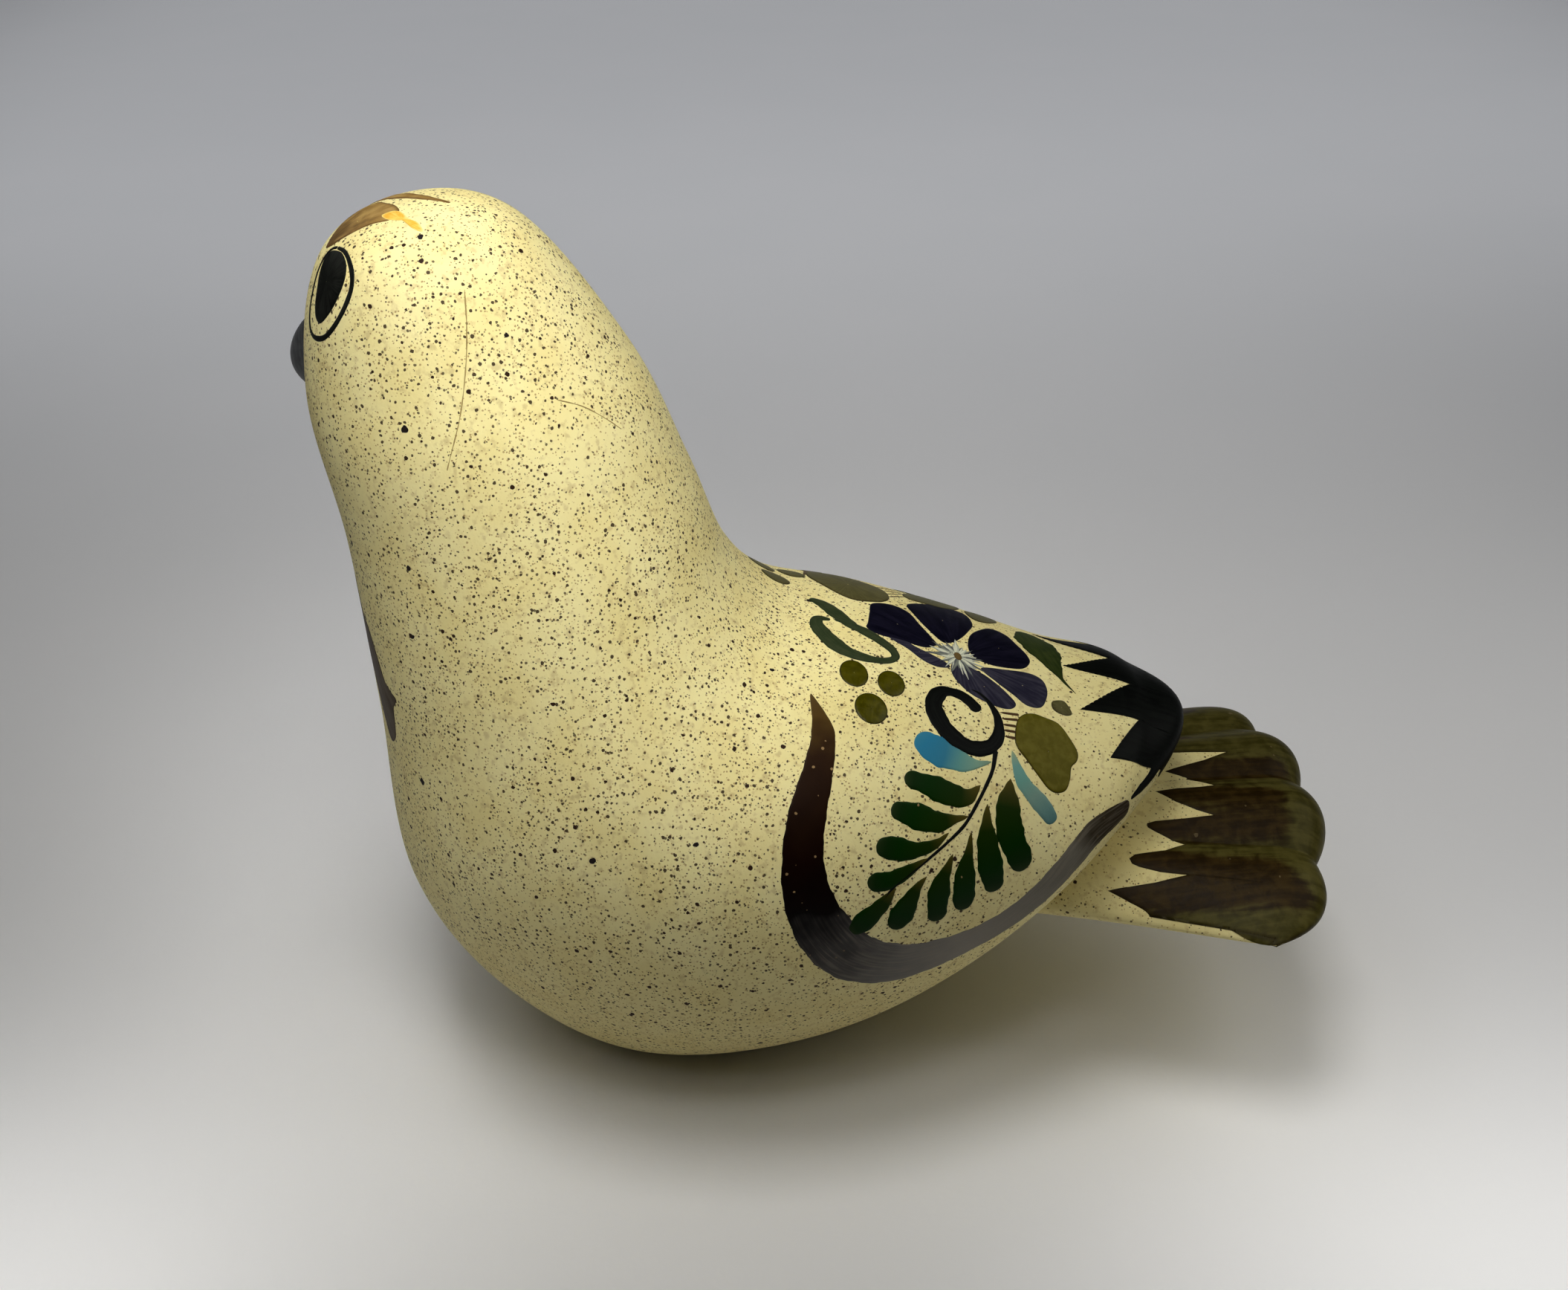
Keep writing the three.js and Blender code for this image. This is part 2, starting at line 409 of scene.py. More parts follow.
@dataclass
class TailForm:
    """The shape of the fluted tail fan, as in the solids but for rounder outer lobes."""

    root: float = 0.641 * 142.0
    length: float = 78.0
    root_half_width: float = 15.6
    half_width: float = 37.0
    root_height: float = 0.233 * 156.5
    rise: float = 4.9
    root_thickness: float = 24.0
    end_thickness: float = 14.3
    edge_drop: float = 4.2
    tip_round: float = 7.5
    end_bow: float = 8.4
    corner: float = 6.0
    flute_width: float = 19.8
    flute_depth: float = 2.5
    scallop_depth: float = 2.4
    root_open: float = 0.12
    crowding: float = 1.6

    def full_length(self, across: Array) -> tuple[Array, Array]:
        """Finds where the fan ends.

        Args:
            across: The place across the fan, from -1 to 1.

        Returns:
            The y at which the fan ends there, and how deep in a flute the place is.
        """
        crest = np.abs(np.sin(np.pi * across * self.half_width / self.flute_width))
        bow = self.end_bow * across**2 + self.corner * across**12
        end = self.root + self.length - bow - self.scallop_depth * (1 - crest)
        return end, 1 - crest

    def outside(self, along: Array, angle: Array) -> Array:
        """Reads the tail's surface.

        Args:
            along: From 0 inside the rump to 1 at the scalloped end.
            angle: From 0 on top, over the left edge, to pi underneath.

        Returns:
            The surface's points.
        """
        along, angle = np.broadcast_arrays(along, angle)
        across = np.sin(angle)
        full, flute = self.full_length(across)
        share = 1 - (1 - along) ** self.crowding
        y = self.root + (full - self.root) * share
        half_width = self.root_half_width + (self.half_width - self.root_half_width) * share
        opened = np.minimum(1, share / self.root_open)
        to_tip = np.clip(1 - (full - y) / self.tip_round, 0, 1)
        thin = self.end_thickness - self.root_thickness
        thickness = self.root_thickness + thin * share**0.7
        depth = self.flute_depth * flute * smoothstep(share, 0.2, 0.8)
        half = np.maximum(thickness / 2 - depth, 1) * np.sqrt(1 - to_tip**2) * opened
        drop = self.edge_drop * share * across**2
        height = self.root_height + self.rise * share - drop + half * np.cos(angle)
        return np.stack([half_width * across * opened, y, height], -1)

    def place(self, x: Array, y: Array) -> tuple[Array, Array]:
        """Finds a place on the fan's top, seen from above.

        Args:
            x: How far to the bird's left it lies.
            y: How far back it lies.

        Returns:
            The along and angle at which outside gives that place.
        """
        across = x / self.half_width
        for _ in range(12):
            full, _ = self.full_length(across)
            share = np.clip((y - self.root) / (full - self.root), 0, 1)
            width = self.root_half_width + (self.half_width - self.root_half_width) * share
            across = np.clip(x / width, -1, 1)
        return 1 - (1 - share) ** (1 / self.crowding), np.arcsin(across)


@dataclass(frozen=True)
class Chart:
    """A flat view of the bird, in which painted marks are measured.

    Attributes:
        towards: The direction from the bird to the viewer.
        right: The direction of the chart's first coordinate.
    """

    towards: Place
    right: Place

    @property
    def up(self) -> Array:
        """The direction of the chart's second coordinate."""
        return np.cross(self.towards, self.right)

    def spread(self, marks: Array) -> Array:
        """Turns chart coordinates, one pair a row, into points through the origin's plane."""
        return marks[:, :1] * np.array(self.right) + marks[:, 1:] * self.up


def tilted_chart(turn: float, raised: float) -> Chart:
    """Makes the chart of a viewer who walks round the bird.

    Args:
        turn: How far the viewer walks from the front towards the bird's left, in degrees.
        raised: How far above the ground the viewer looks from, in degrees.

    Returns:
        The chart.
    """
    turned, up = math.radians(turn), math.radians(raised)
    level = math.cos(up)
    towards = (math.sin(turned) * level, -math.cos(turned) * level, math.sin(up))
    return Chart(towards, (math.cos(turned), math.sin(turned), 0.0))


FROM_LEFT = tilted_chart(turn=90, raised=30)
FROM_FACE = tilted_chart(turn=48, raised=35)
FROM_FRONT = tilted_chart(turn=0, raised=0)
FROM_ABOVE = Chart((0.0, 0.0, 1.0), (1.0, 0.0, 0.0))


class Ground:
    """A surface of clay that glaze is laid on."""

    # How far off the viewer of a chart is, well outside the bird.
    far_off = 400

    def __init__(
        self,
        form: BodyForm | TailForm,
        stations: int,
        sides: int,
        creases: Widths = (),
    ) -> None:
        """Charts a form.

        Args:
            form: The form, read through its method outside.
            stations: How many steps the chart has from one end to the other.
            sides: How many steps it has round the form.
            creases: Angles at which the form has a crease, so that a step falls there.
        """
        self.form = form
        angles = np.linspace(0, 2 * np.pi, sides + 1)
        for crease in creases:
            angles[np.argmin(np.abs(angles - crease))] = crease
        self.station, self.angle = np.meshgrid(
            np.linspace(0, 1, stations + 1), angles, indexing="ij"
        )
        self.points = form.outside(self.station, self.angle)
        self.points[..., 2] = np.maximum(self.points[..., 2], 0)
        self.normals = self._normals()
        quads = grid_faces(stations + 1, sides + 1)
        self.triangles = np.vstack([quads[:, [0, 1, 2]], quads[:, [0, 2, 3]]])
        self.tree = BVHTree.FromPolygons(
            self.points.reshape(-1, 3).tolist(), self.triangles.tolist()
        )

    def _normals(self) -> Array:
        """Finds the outward normals of the chart's points.

        Returns:
            The normals, in the grid of the points.
        """
        stations = np.clip(self.station, 2e-3, 1 - 8e-3)
        step = 5e-4
        along = self.form.outside(stations + step, self.angle)
        along = along - self.form.outside(stations - step, self.angle)
        round_it = self.form.outside(stations, self.angle + step)
        round_it = round_it - self.form.outside(stations, self.angle - step)
        return unit(np.cross(round_it, along))

    def settle(self, points: Array) -> tuple[Array, Array]:
        """Brings points to the nearest place on the clay.

        Args:
            points: The points, one a row.

        Returns:
            The places on the clay and the outward normals there.
        """
        station, angle, normals = self.locate(points)
        places = self.form.outside(station, angle) - normals * GLAZE_ROOM
        places[:, 2] = np.maximum(places[:, 2], 0)
        return places, normals

    def locate(self, points: Array) -> tuple[Array, Array, Array]:
        """Reads the form's coordinates at the clay nearest to points.

        Args:
            points: The points, one a row.

        Returns:
            The station, the angle and the outward normal of each.
        """
        near = [self.tree.find_nearest(Vector(p)) for p in np.asarray(points).tolist()]
        corners = self.triangles[[hit[2] for hit in near]]
        flat = self.points.reshape(-1, 3)
        a, b, c = (flat[corners[:, k]] for k in range(3))
        across, down, out = b - a, c - a, np.array([hit[0] for hit in near], float) - a
        aa, ab, bb = (across**2).sum(1), (across * down).sum(1), (down**2).sum(1)
        oa, ob = (out * across).sum(1), (out * down).sum(1)
        size = np.maximum(aa * bb - ab * ab, 1e-15)
        second = np.clip((bb * oa - ab * ob) / size, 0, 1)
        third = np.clip((aa * ob - ab * oa) / size, 0, 1)
        shares = np.stack([np.clip(1 - second - third, 0, 1), second, third], 1)
        station = (self.station.reshape(-1)[corners] * shares).sum(1)
        angle = (self.angle.reshape(-1)[corners] * shares).sum(1)
        normals = unit((self.normals.reshape(-1, 3)[corners] * shares[..., None]).sum(1))
        return station, angle, normals

    def drop(self, chart: Chart, marks: Array) -> Array:
        """Lays marks of a chart onto the clay.

        Args:
            chart: The chart that the marks are measured in.
            marks: Pairs of chart coordinates, one a row.

        Returns:
            The places on the clay.
        """
        marks = np.asarray(marks, float)
        away = np.array(chart.towards) * self.far_off
        starts = chart.spread(marks) + away
        heading = Vector((-away).tolist()).normalized()
        found = []
        for start in starts.tolist():
            hit = self.tree.ray_cast(Vector(start), heading)[0]
            found.append(hit if hit is not None else self._graze(start, heading))
        return self.settle(np.array(found, float))[0]

    def _graze(self, start: list[float], heading: Vector) -> Vector:
        """Finds the clay nearest to a line of sight that misses it.

        Args:
            start: Where the line starts.
            heading: Its direction.

        Returns:
            The nearest place on the clay.
        """
        reaches = np.linspace(self.far_off / 2, self.far_off * 1.5, 81)
        hits = [self.tree.find_nearest(Vector(start) + heading * reach) for reach in reaches]
        return min(hits, key=itemgetter(3))[0]


@dataclass
class Patch:
    """A skin of glaze.

    Attributes:
        points: Its points, one a row.
        faces: The point numbers of each of its quads.
        grain: For each point, how far along the stroke it is, how far across, and the
            share of the stroke that is behind it.
        rim: How far each point is from the patch's edge.
    """

    points: Array
    faces: Array
    grain: Array
    rim: Array

    def mirrored(self) -> Patch:
        """Gives the same skin on the bird's other side."""
        return Patch(self.points * [-1, 1, 1], self.faces[:, ::-1], self.grain, self.rim)


def bead(rim: Array, lift: float, roundness: float) -> Array:
    """Shapes the section of a glaze patch, which starts just under the clay.

    Args:
        rim: The distance from the patch's edge.
        lift: How thick the glaze is.
        roundness: How far from its edge the glaze reaches that thickness.

    Returns:
        The height above the clay.
    """
    share = 1 - np.clip(rim / roundness, 0, 1)
    return (lift + GLAZE_ROOT) * np.sqrt(1 - share**2) - GLAZE_ROOT


@dataclass(frozen=True)
class Stroke:
    """One pull of the brush.

    Attributes:
        path: The points that it runs through, in a chart.
        widths: Its width at each of those points.
        start: How it starts.
        stop: How it stops.
        lift: How thick the glaze is.
        wobble: How unsteady its edges are, as a share of its width.
        roundness: How far from its edge the glaze reaches its thickness.
    """

    path: Line
    widths: Widths
    start: End = End.POINTED
    stop: End = End.ROUND
    lift: float = 0.1
    wobble: float = 0.04
    roundness: float = 0.3

    def patch(self, ground: Ground, chart: Chart) -> Patch:
        """Lays the stroke on clay.

        Args:
            ground: The clay.
            chart: The chart that the stroke is measured in.

        Returns:
            The glaze.
        """
        fine = spline(np.array(self.path), np.linspace(0, 1, 200))
        middle = ground.drop(chart, fine)
        run = run_along(middle)
        total = run[-1]
        step_along, fewest, most = 0.3, 14, 170
        count = int(np.clip(total / step_along, fewest, most))
        eased = (1 - np.cos(np.linspace(0, np.pi, count))) / 2
        places = total * (0.25 * eased + 0.75 * np.linspace(0, 1, count))
        middle, normals = ground.settle(read_line(places, run, middle))
        half = self._half_widths(places / total, places, total)
        sideways = unit(np.cross(normals, unit(np.gradient(middle, axis=0))))
        step_across, fewest, most = 0.25, 6, 26
        columns = int(np.clip(half.max() / step_across, fewest, most)) | 1
        across = np.sin(np.linspace(-np.pi / 2, np.pi / 2, columns))
        spots = middle[:, None] + sideways[:, None] * (half[:, None] * across)[..., None]
        spots, out = ground.settle(spots.reshape(-1, 3))
        rim = (half[:, None] * (1 - np.abs(across))).reshape(-1)
        points = spots + out * bead(rim, self.lift, self.roundness)[:, None]
        along = np.repeat(places, columns)
        offset = (half[:, None] * across).reshape(-1)
        grain = np.stack([along, offset, along / total], -1)
        faces = grid_faces(count, columns)[:, ::-1]
        return Patch(points, faces, grain, rim)

    def _half_widths(self, share: Array, places: Array, total: float) -> Array:
        """Reads half the stroke's width.

        Args:
            share: The places along the stroke, from 0 to 1.
            places: The same places in millimetres.
            total: The stroke's length.

        Returns:
            Half the width at each place.
        """
        knots = np.linspace(0, 1, len(self.widths))
        widths = np.interp(share, knots, np.array(self.widths))
        kernel = np.array([1, 3, 5, 3, 1]) / 13
        widths = np.convolve(np.pad(widths, 2, mode="edge"), kernel, mode="valid")
        phase = sum(self.path[0])
        waver = np.sin(places * 1.3 + phase) + 0.6 * np.sin(places * 3.1 + 2 * phase)
        half = widths / 2 * (1 + self.wobble * waver)
        least_radius, point_length = 0.15, 0.8
        ends = ((self.start, self.widths[0], places), (self.stop, self.widths[-1], total - places))
        for end, width, left in ends:
            if end is End.ROUND:
                radius = max(width / 2, least_radius)
                reach = np.clip(left / radius, 0, 1)
                half = np.where(left < radius, half * np.sqrt(1 - (1 - reach) ** 2), half)
            else:
                half = half * np.clip(left / point_length, 0, 1) ** 0.6
        return half


@dataclass(frozen=True)
class Pool:
    """A pool of glaze inside an outline.

    Attributes:
        outline: The points that its edge runs through, in a chart.
        lift: How thick the glaze is.
        sharp: Whether the outline runs straight between its points.
        root: The chart point that its brush marks fan out from, or none.
        roundness: How far from its edge the glaze reaches its thickness.
    """

    outline: Line
    lift: float = 0.14
    sharp: bool = False
    root: Point | None = None
    roundness: float = 0.45

    def patch(self, ground: Ground, chart: Chart) -> Patch:
        """Lays the pool on clay.

        Args:
            ground: The clay.
            chart: The chart that the pool is measured in.

        Returns:
            The glaze.
        """
        marks = np.array(self.outline)
        count = 120
        if self.sharp:
            looped = np.vstack([marks, marks[:1]])
            run = run_along(looped)
            edge = read_line(np.linspace(0, run[-1], count, endpoint=False), run, looped)
        else:
            edge = spline(marks, np.linspace(0, 1, count, endpoint=False), closed=True)
        edge = ground.drop(chart, edge)
        middle = ground.drop(chart, marks.mean(0)[None])
        reach = np.linalg.norm(edge - middle, axis=1)
        step, fewest, most = 0.4, 8, 30
        rings = int(np.clip(reach.max() / step, fewest, most))
        shares = np.sin(np.linspace(0.02, np.pi / 2, rings))
        spots = middle[None] + (edge - middle)[None] * shares[:, None, None]
        spots, out = ground.settle(spots.reshape(-1, 3))
        rim = ((1 - shares)[:, None] * reach[None]).reshape(-1)
        points = spots + out * bead(rim, self.lift, self.roundness)[:, None]
        root = middle if self.root is None else ground.drop(chart, np.array([self.root]))
        off = spots - root
        far = np.linalg.norm(off, axis=1)
        swing = np.arctan2(off @ chart.up, off @ np.array(chart.right))
        streaks_round = 6
        grain = np.stack([far, swing * streaks_round, far / far.max()], -1)
        return Patch(points, grid_faces(rings, count, closed=True), grain, rim)


class Recipe:
    """The node tree of a finish, with short ways to add to it."""

    def __init__(self, name: str) -> None:
        """Starts an empty material.

        Args:
            name: The material's name.
        """
        self.material = bpy.data.materials.new(name)
        self.material.use_nodes = True
        self.tree = self.material.node_tree
        self.tree.nodes.clear()
        self.place = self.node("ShaderNodeTexCoord").outputs["Object"]

    def node(
        self, kind: str, feeds: dict[str | int, object] | None = None, **settings: object
    ) -> Node:
        """Adds a node.

        Args:
            kind: Blender's name for the node.
            feeds: What goes into its inputs, by their names or numbers.
            **settings: The node's own settings.

        Returns:
            The node.
        """
        made = self.tree.nodes.new(kind)
        for name, value in settings.items():
            setattr(made, name, value)
        for name, value in (feeds or {}).items():
            self.feed(made.inputs[name], value)
        return made

    def feed(self, socket: NodeSocket, value: object) -> None:
        """Links a socket to another, or sets its value.

        Args:
            socket: The input.
            value: An output to link, or a number, vector or shade.
        """
        if isinstance(value, NodeSocket):
            self.tree.links.new(value, socket)
        elif socket.type == "RGBA":
            socket.default_value = (*linear(value), 1)
        else:
            socket.default_value = value

    def sum(self, kind: str, *values: object, clamp: bool = False) -> NodeSocket:
        """Adds a math node.

        Args:
            kind: The operation.
            *values: Its inputs.
            clamp: Whether the result is kept between 0 and 1.

        Returns:
            The result.
        """
        feeds = dict(enumerate(values))
        return self.node("ShaderNodeMath", feeds, operation=kind, use_clamp=clamp).outputs[0]

    def times(self, value: object, factor: object) -> NodeSocket:
        """Multiplies two values."""
        return self.sum("MULTIPLY", value, factor)

    def line(self, value: object, slope: object, base: object, clamp: bool = False) -> NodeSocket:
        """Multiplies a value by a slope and adds a base to it."""
        return self.sum("MULTIPLY_ADD", value, slope, base, clamp=clamp)

    def remap(self, value: object, low: float, high: float) -> NodeSocket:
        """Turns a range of a value into 0 to 1, smoothly.

        Args:
            value: The value.
            low: What becomes 0.
            high: What becomes 1.

        Returns:
            The new value.
        """
        feeds = {"Value": value, "From Min": low, "From Max": high}
        made = self.node("ShaderNodeMapRange", feeds, interpolation_type="SMOOTHSTEP")
        return made.outputs["Result"]

    def axis(self, coords: object, name: str) -> NodeSocket:
        """Reads one axis of coordinates."""
        return self.node("ShaderNodeSeparateXYZ", {0: coords}).outputs[name]

    def stored(self, name: str) -> Node:
        """Reads what a patch stores at its points, such as its grain or rim."""
        return self.node("ShaderNodeAttribute", attribute_name=name)

    def noise(
        self, size: float, detail: float = 2.0, coords: object | None = None, swirl: float = 0.0
    ) -> NodeSocket:
        """Adds cloudy noise.

        Args:
            size: The size of its clouds in millimetres, or in the coordinates' own unit.
            detail: How many finer layers it has.
            coords: Other coordinates than the object's.
            swirl: How far it is distorted.

        Returns:
            The noise, from 0 to 1.
        """
        if coords is None:
            coords, size = self.place, size * MM
        feeds = {"Vector": coords, "Scale": 1 / size, "Detail": detail, "Distortion": swirl}
        return self.node("ShaderNodeTexNoise", feeds).outputs["Fac"]

    def streaks(self, along: float, across: float, detail: float) -> NodeSocket:
        """Adds noise that is drawn out along the brush.

        Args:
            along: How fast it changes along the stroke.
            across: How fast it changes across it.
            detail: How many finer layers it has.

        Returns:
            The noise, from 0 to 1.
        """
        feeds = {0: self.stored("grain").outputs["Vector"], 1: (along, across, 0)}
        drawn = self.node("ShaderNodeVectorMath", feeds, operation="MULTIPLY")
        return self.noise(1, detail, drawn.outputs[0])

    def specks(
        self, spacing: float, smallest: float, largest: float, share: object
    ) -> NodeSocket:
        """Scatters round specks.

        Args:
            spacing: The mean distance between places for a speck.
            smallest: The smallest speck's radius.
            largest: The largest one's.
            share: The share of the places that hold a speck.

        Returns:
            1 in a speck and 0 between them.
        """
        warp = self.node(
            "ShaderNodeTexNoise", {"Vector": self.place, "Scale": 1 / (largest * 1.6 * MM)}
        )
        uneven = (largest * MM * 1.1,) * 3
        bent = self.node(
            "ShaderNodeVectorMath",
            {0: warp.outputs["Color"], 1: uneven, 2: self.place},
            operation="MULTIPLY_ADD",
        )
        cells = self.node(
            "ShaderNodeTexVoronoi", {"Vector": bent.outputs[0], "Scale": 1 / (spacing * MM)}
        )
        lots = self.node("ShaderNodeSeparateColor", {0: cells.outputs["Color"]}).outputs
        size = self.line(lots["Green"], (largest - smallest) / spacing, smallest / spacing)
        inside = self.sum("SUBTRACT", size, cells.outputs["Distance"])
        blur = 0.04
        mask = self.remap(inside, 0.0, blur / spacing)
        return self.times(mask, self.sum("LESS_THAN", lots["Red"], share))

    def mix(self, share: object, first: object, second: object) -> NodeSocket:
        """Mixes two colours.

        Args:
            share: How much of the second there is.
            first: The first colour.
            second: The second colour.

        Returns:
            The mixed colour.
        """
        feeds = {"Factor": share, 6: first, 7: second}
        return self.node("ShaderNodeMix", feeds, data_type="RGBA", clamp_factor=True).outputs[2]

    def over(self, under: object, colour: object, mask: object, strength: float) -> NodeSocket:
        """Lays a colour over another.

        Args:
            under: The colour underneath.
            colour: The colour on top.
            mask: Where it lies, from 0 to 1.
            strength: How much it covers there.

        Returns:
            The mixed colour.
        """
        return self.mix(self.times(mask, strength), under, colour)

    def ramp(self, value: object, stops: tuple[tuple[float, Shade], ...]) -> NodeSocket:
        """Turns a value into a colour.

        Args:
            value: The value.
            stops: The values and their colours.

        Returns:
            The colour.
        """
        made = self.node("ShaderNodeValToRGB", {0: value})
        bar = made.color_ramp
        while len(bar.elements) < len(stops):
            bar.elements.new(1.0)
        for element, (place, shade) in zip(bar.elements, stops):
            element.position = place
            element.color = (*linear(shade), 1)
        return made.outputs["Color"]

    def shade(
        self, colour: object, roughness: object, relief: object, depth: float, shine: float = 0.5
    ) -> Material:
        """Finishes the material.

        Args:
            colour: Its colour.
            roughness: Its roughness.
            relief: The height of its surface, from 0 to 1.
            depth: What a height of 1 is, in millimetres.
            shine: How strong its reflections are.

        Returns:
            The material.
        """
        bump = self.node(
            "ShaderNodeBump", {"Strength": 1.0, "Distance": depth * MM, "Height": relief}
        )
        feeds = {
            "Base Color": colour,
            "Roughness": roughness,
            "Specular IOR Level": shine,
            "Normal": bump.outputs["Normal"],
        }
        shader = self.node("ShaderNodeBsdfPrincipled", feeds)
        self.node("ShaderNodeOutputMaterial", {"Surface": shader.outputs[0]})
        return self.material


_made: dict[Finish, Material] = {}


class Finish:
    """Something that a surface can be made of."""

    def material(self) -> Material:
        """Gives the material, and makes it the first time.

        Returns:
            The material.
        """
        if self not in _made:
            _made[self] = self.make()
        return _made[self]

    def make(self) -> Material:
        """Makes the material."""
        raise NotImplementedError


@dataclass(frozen=True)
class Specks:
    """The iron specks of one size.

    Attributes:
        spacing: The mean distance between places for a speck.
        smallest: The smallest speck's radius.
        largest: The largest one's.
        share: The share of the places that hold a speck, where they lie thickest.
        strength: How much they cover of the clay.
        colour: Their colour.
        coarse: Whether they hardly reach the tail.
    """

    spacing: float
    smallest: float
    largest: float
    share: float
    strength: float = 1.0
    colour: Shade = (56, 34, 14)
    coarse: bool = True


@dataclass(frozen=True)
class SpeckledClay(Finish):
    """Matte cream stoneware with iron specks.

    Attributes:
        pale: The colour of its pale clouds.
        warm: The colour of its warm clouds.
        faint: The colour of its faint mottling.
        painted_shade: Painted shade low on the bird, a darker clay colour towards the foot.
        painted_shade_heights: The heights at which the painted shade starts and is full.
        thinning: How far behind the middle the specks start to thin out, and stop.
        specks: Its specks, from fine to coarse.
    """

    pale: Shade = (241, 232, 178)
    warm: Shade = (235, 223, 164)
    faint: Shade = (152, 116, 62)
    painted_shade: Shade = (178, 160, 104)
    painted_shade_heights: Point = (64.0, 12.0)
    thinning: Point = (16.0, 38.0)
    specks: tuple[Specks, ...] = (
        Specks(0.5, 0.08, 0.2, 0.8, 0.62, (152, 116, 62), coarse=False),
        Specks(0.66, 0.09, 0.24, 0.6, 0.8, coarse=False),
        Specks(0.95, 0.14, 0.31, 0.66, 0.92),
        Specks(1.9, 0.18, 0.42, 0.4),
        Specks(6.0, 0.32, 0.64, 0.3, colour=(34, 24, 24)),
    )

    def make(self) -> Material:
        """Makes the material.

        Returns:
            The material.
        """
        mix = Recipe("speckled_clay")
        colour = mix.mix(mix.remap(mix.noise(9, detail=5), 0.3, 0.72), self.pale, self.warm)
        mottled = mix.remap(mix.noise(1.3, detail=3), 0.52, 0.72)
        colour = mix.over(colour, self.faint, mottled, 0.26)
        # Painted shade: the clay's colour darkens towards the foot, starting at the first height and
        # full at the second.
        start, full = self.painted_shade_heights
        low = mix.remap(mix.axis(mix.place, "Z"), start * MM, full * MM)
        colour = mix.over(colour, self.painted_shade, low, 0.42)
        start, full = self.thinning
        behind = mix.remap(mix.axis(mix.place, "Y"), start * MM, full * MM)
        sprayed = mix.remap(mix.noise(16, detail=3), 0.32, 0.6)
        thick = mix.times(mix.line(behind, -0.45, 1.0), mix.line(sprayed, 0.35, 0.65))
        coarse = mix.times(thick, mix.line(behind, -0.85, 1.0))
        masks = []
        for specks in self.specks:
            share = mix.times(coarse if specks.coarse else thick, specks.share)
            mask = mix.specks(specks.spacing, specks.smallest, specks.largest, share)
            colour = mix.over(colour, specks.colour, mask, specks.strength)
            masks.append(mask)
        pits = mix.sum("ADD", *masks[-2:], clamp=True)
        relief = mix.sum("SUBTRACT", mix.noise(0.55, detail=3), mix.times(pits, 0.5))
        return mix.shade(colour, mix.line(mix.noise(1.2), 0.2, 0.58), relief, 0.06, shine=0.3)


@dataclass(frozen=True)
class RawClay(Finish):
    """Bare clay, as on the foot and inside.

    Attributes:
        pale: The colour of its pale clouds.
        dark: The colour of its dark clouds.
        speck: The colour of its specks.
    """

    pale: Shade = (196, 176, 126)
    dark: Shade = (150, 128, 86)
    speck: Shade = (70, 50, 34)

    def make(self) -> Material:
        """Makes the material.

        Returns:
            The material.
        """
        mix = Recipe("raw_clay")
        colour = mix.mix(mix.noise(4, detail=5), self.pale, self.dark)
        colour = mix.mix(mix.specks(1.2, 0.08, 0.25, 0.4), colour, self.speck)
        grain = mix.noise(0.7, detail=4)
        return mix.shade(colour, mix.line(grain, 0.1, 0.85), grain, depth=0.12)


@dataclass(frozen=True)
class PaleFloor(Finish):
    """The floor's plain surface.

    Attributes:
        dull: The colour of its dull clouds.
        bright: The colour of its bright clouds.
    """

    dull: Shade = (246, 247, 249)
    bright: Shade = (250, 250, 252)

    def make(self) -> Material:
        """Makes the material.

        Returns:
            The material.
        """
        mix = Recipe("pale_floor")
        colour = mix.mix(mix.noise(60, detail=3), self.dull, self.bright)
        return mix.shade(colour, mix.line(mix.noise(3), 0.1, 0.75), mix.noise(2), depth=0.05)


@dataclass(frozen=True)
class BrushedGlaze(Finish):
    """Glaze or slip with the marks of the brush along it.

    Attributes:
        name: The material's name.
        deep: Its colour where it is thick.
        thin: Its colour where it is thin.
        edge: Its colour along its edge.
        rough: How rough it is.
        streaks: How much of the difference follows the brush.
        edge_width: How wide its edge's colour is.
        relief: How deep its unevenness is, in millimetres.
        shine: How strong its reflections are.
    """

    name: str
    deep: Shade
    thin: Shade
    edge: Shade
    rough: float = 0.3
    streaks: float = 0.5
    edge_width: float = 0.45
    relief: float = 0.03
    shine: float = 0.1

    def make(self) -> Material:
        """Makes the material.

        Returns:
            The material.
        """
        mix = Recipe(self.name)
        pulled = mix.streaks(0.12, 2.2, detail=4)
        pooled = mix.noise(1.6, detail=4, swirl=0.6)
        blend = mix.line(pooled, 1 - self.streaks, mix.times(pulled, self.streaks))
        colour = mix.mix(mix.remap(blend, 0.36, 0.66), self.deep, self.thin)
        wavy = mix.line(mix.noise(0.5), 0.3, mix.stored("rim").outputs["Fac"])
        near = mix.sum("SUBTRACT", 1.0, mix.remap(wavy, 0.05, self.edge_width + 0.15))
        colour = mix.mix(near, colour, self.edge)
        rough = mix.line(pooled, 0.22, self.rough - 0.1, clamp=True)
        height = mix.line(mix.noise(0.8), 0.6, mix.times(pulled, 0.6))
        return mix.shade(colour, rough, height, self.relief, self.shine)


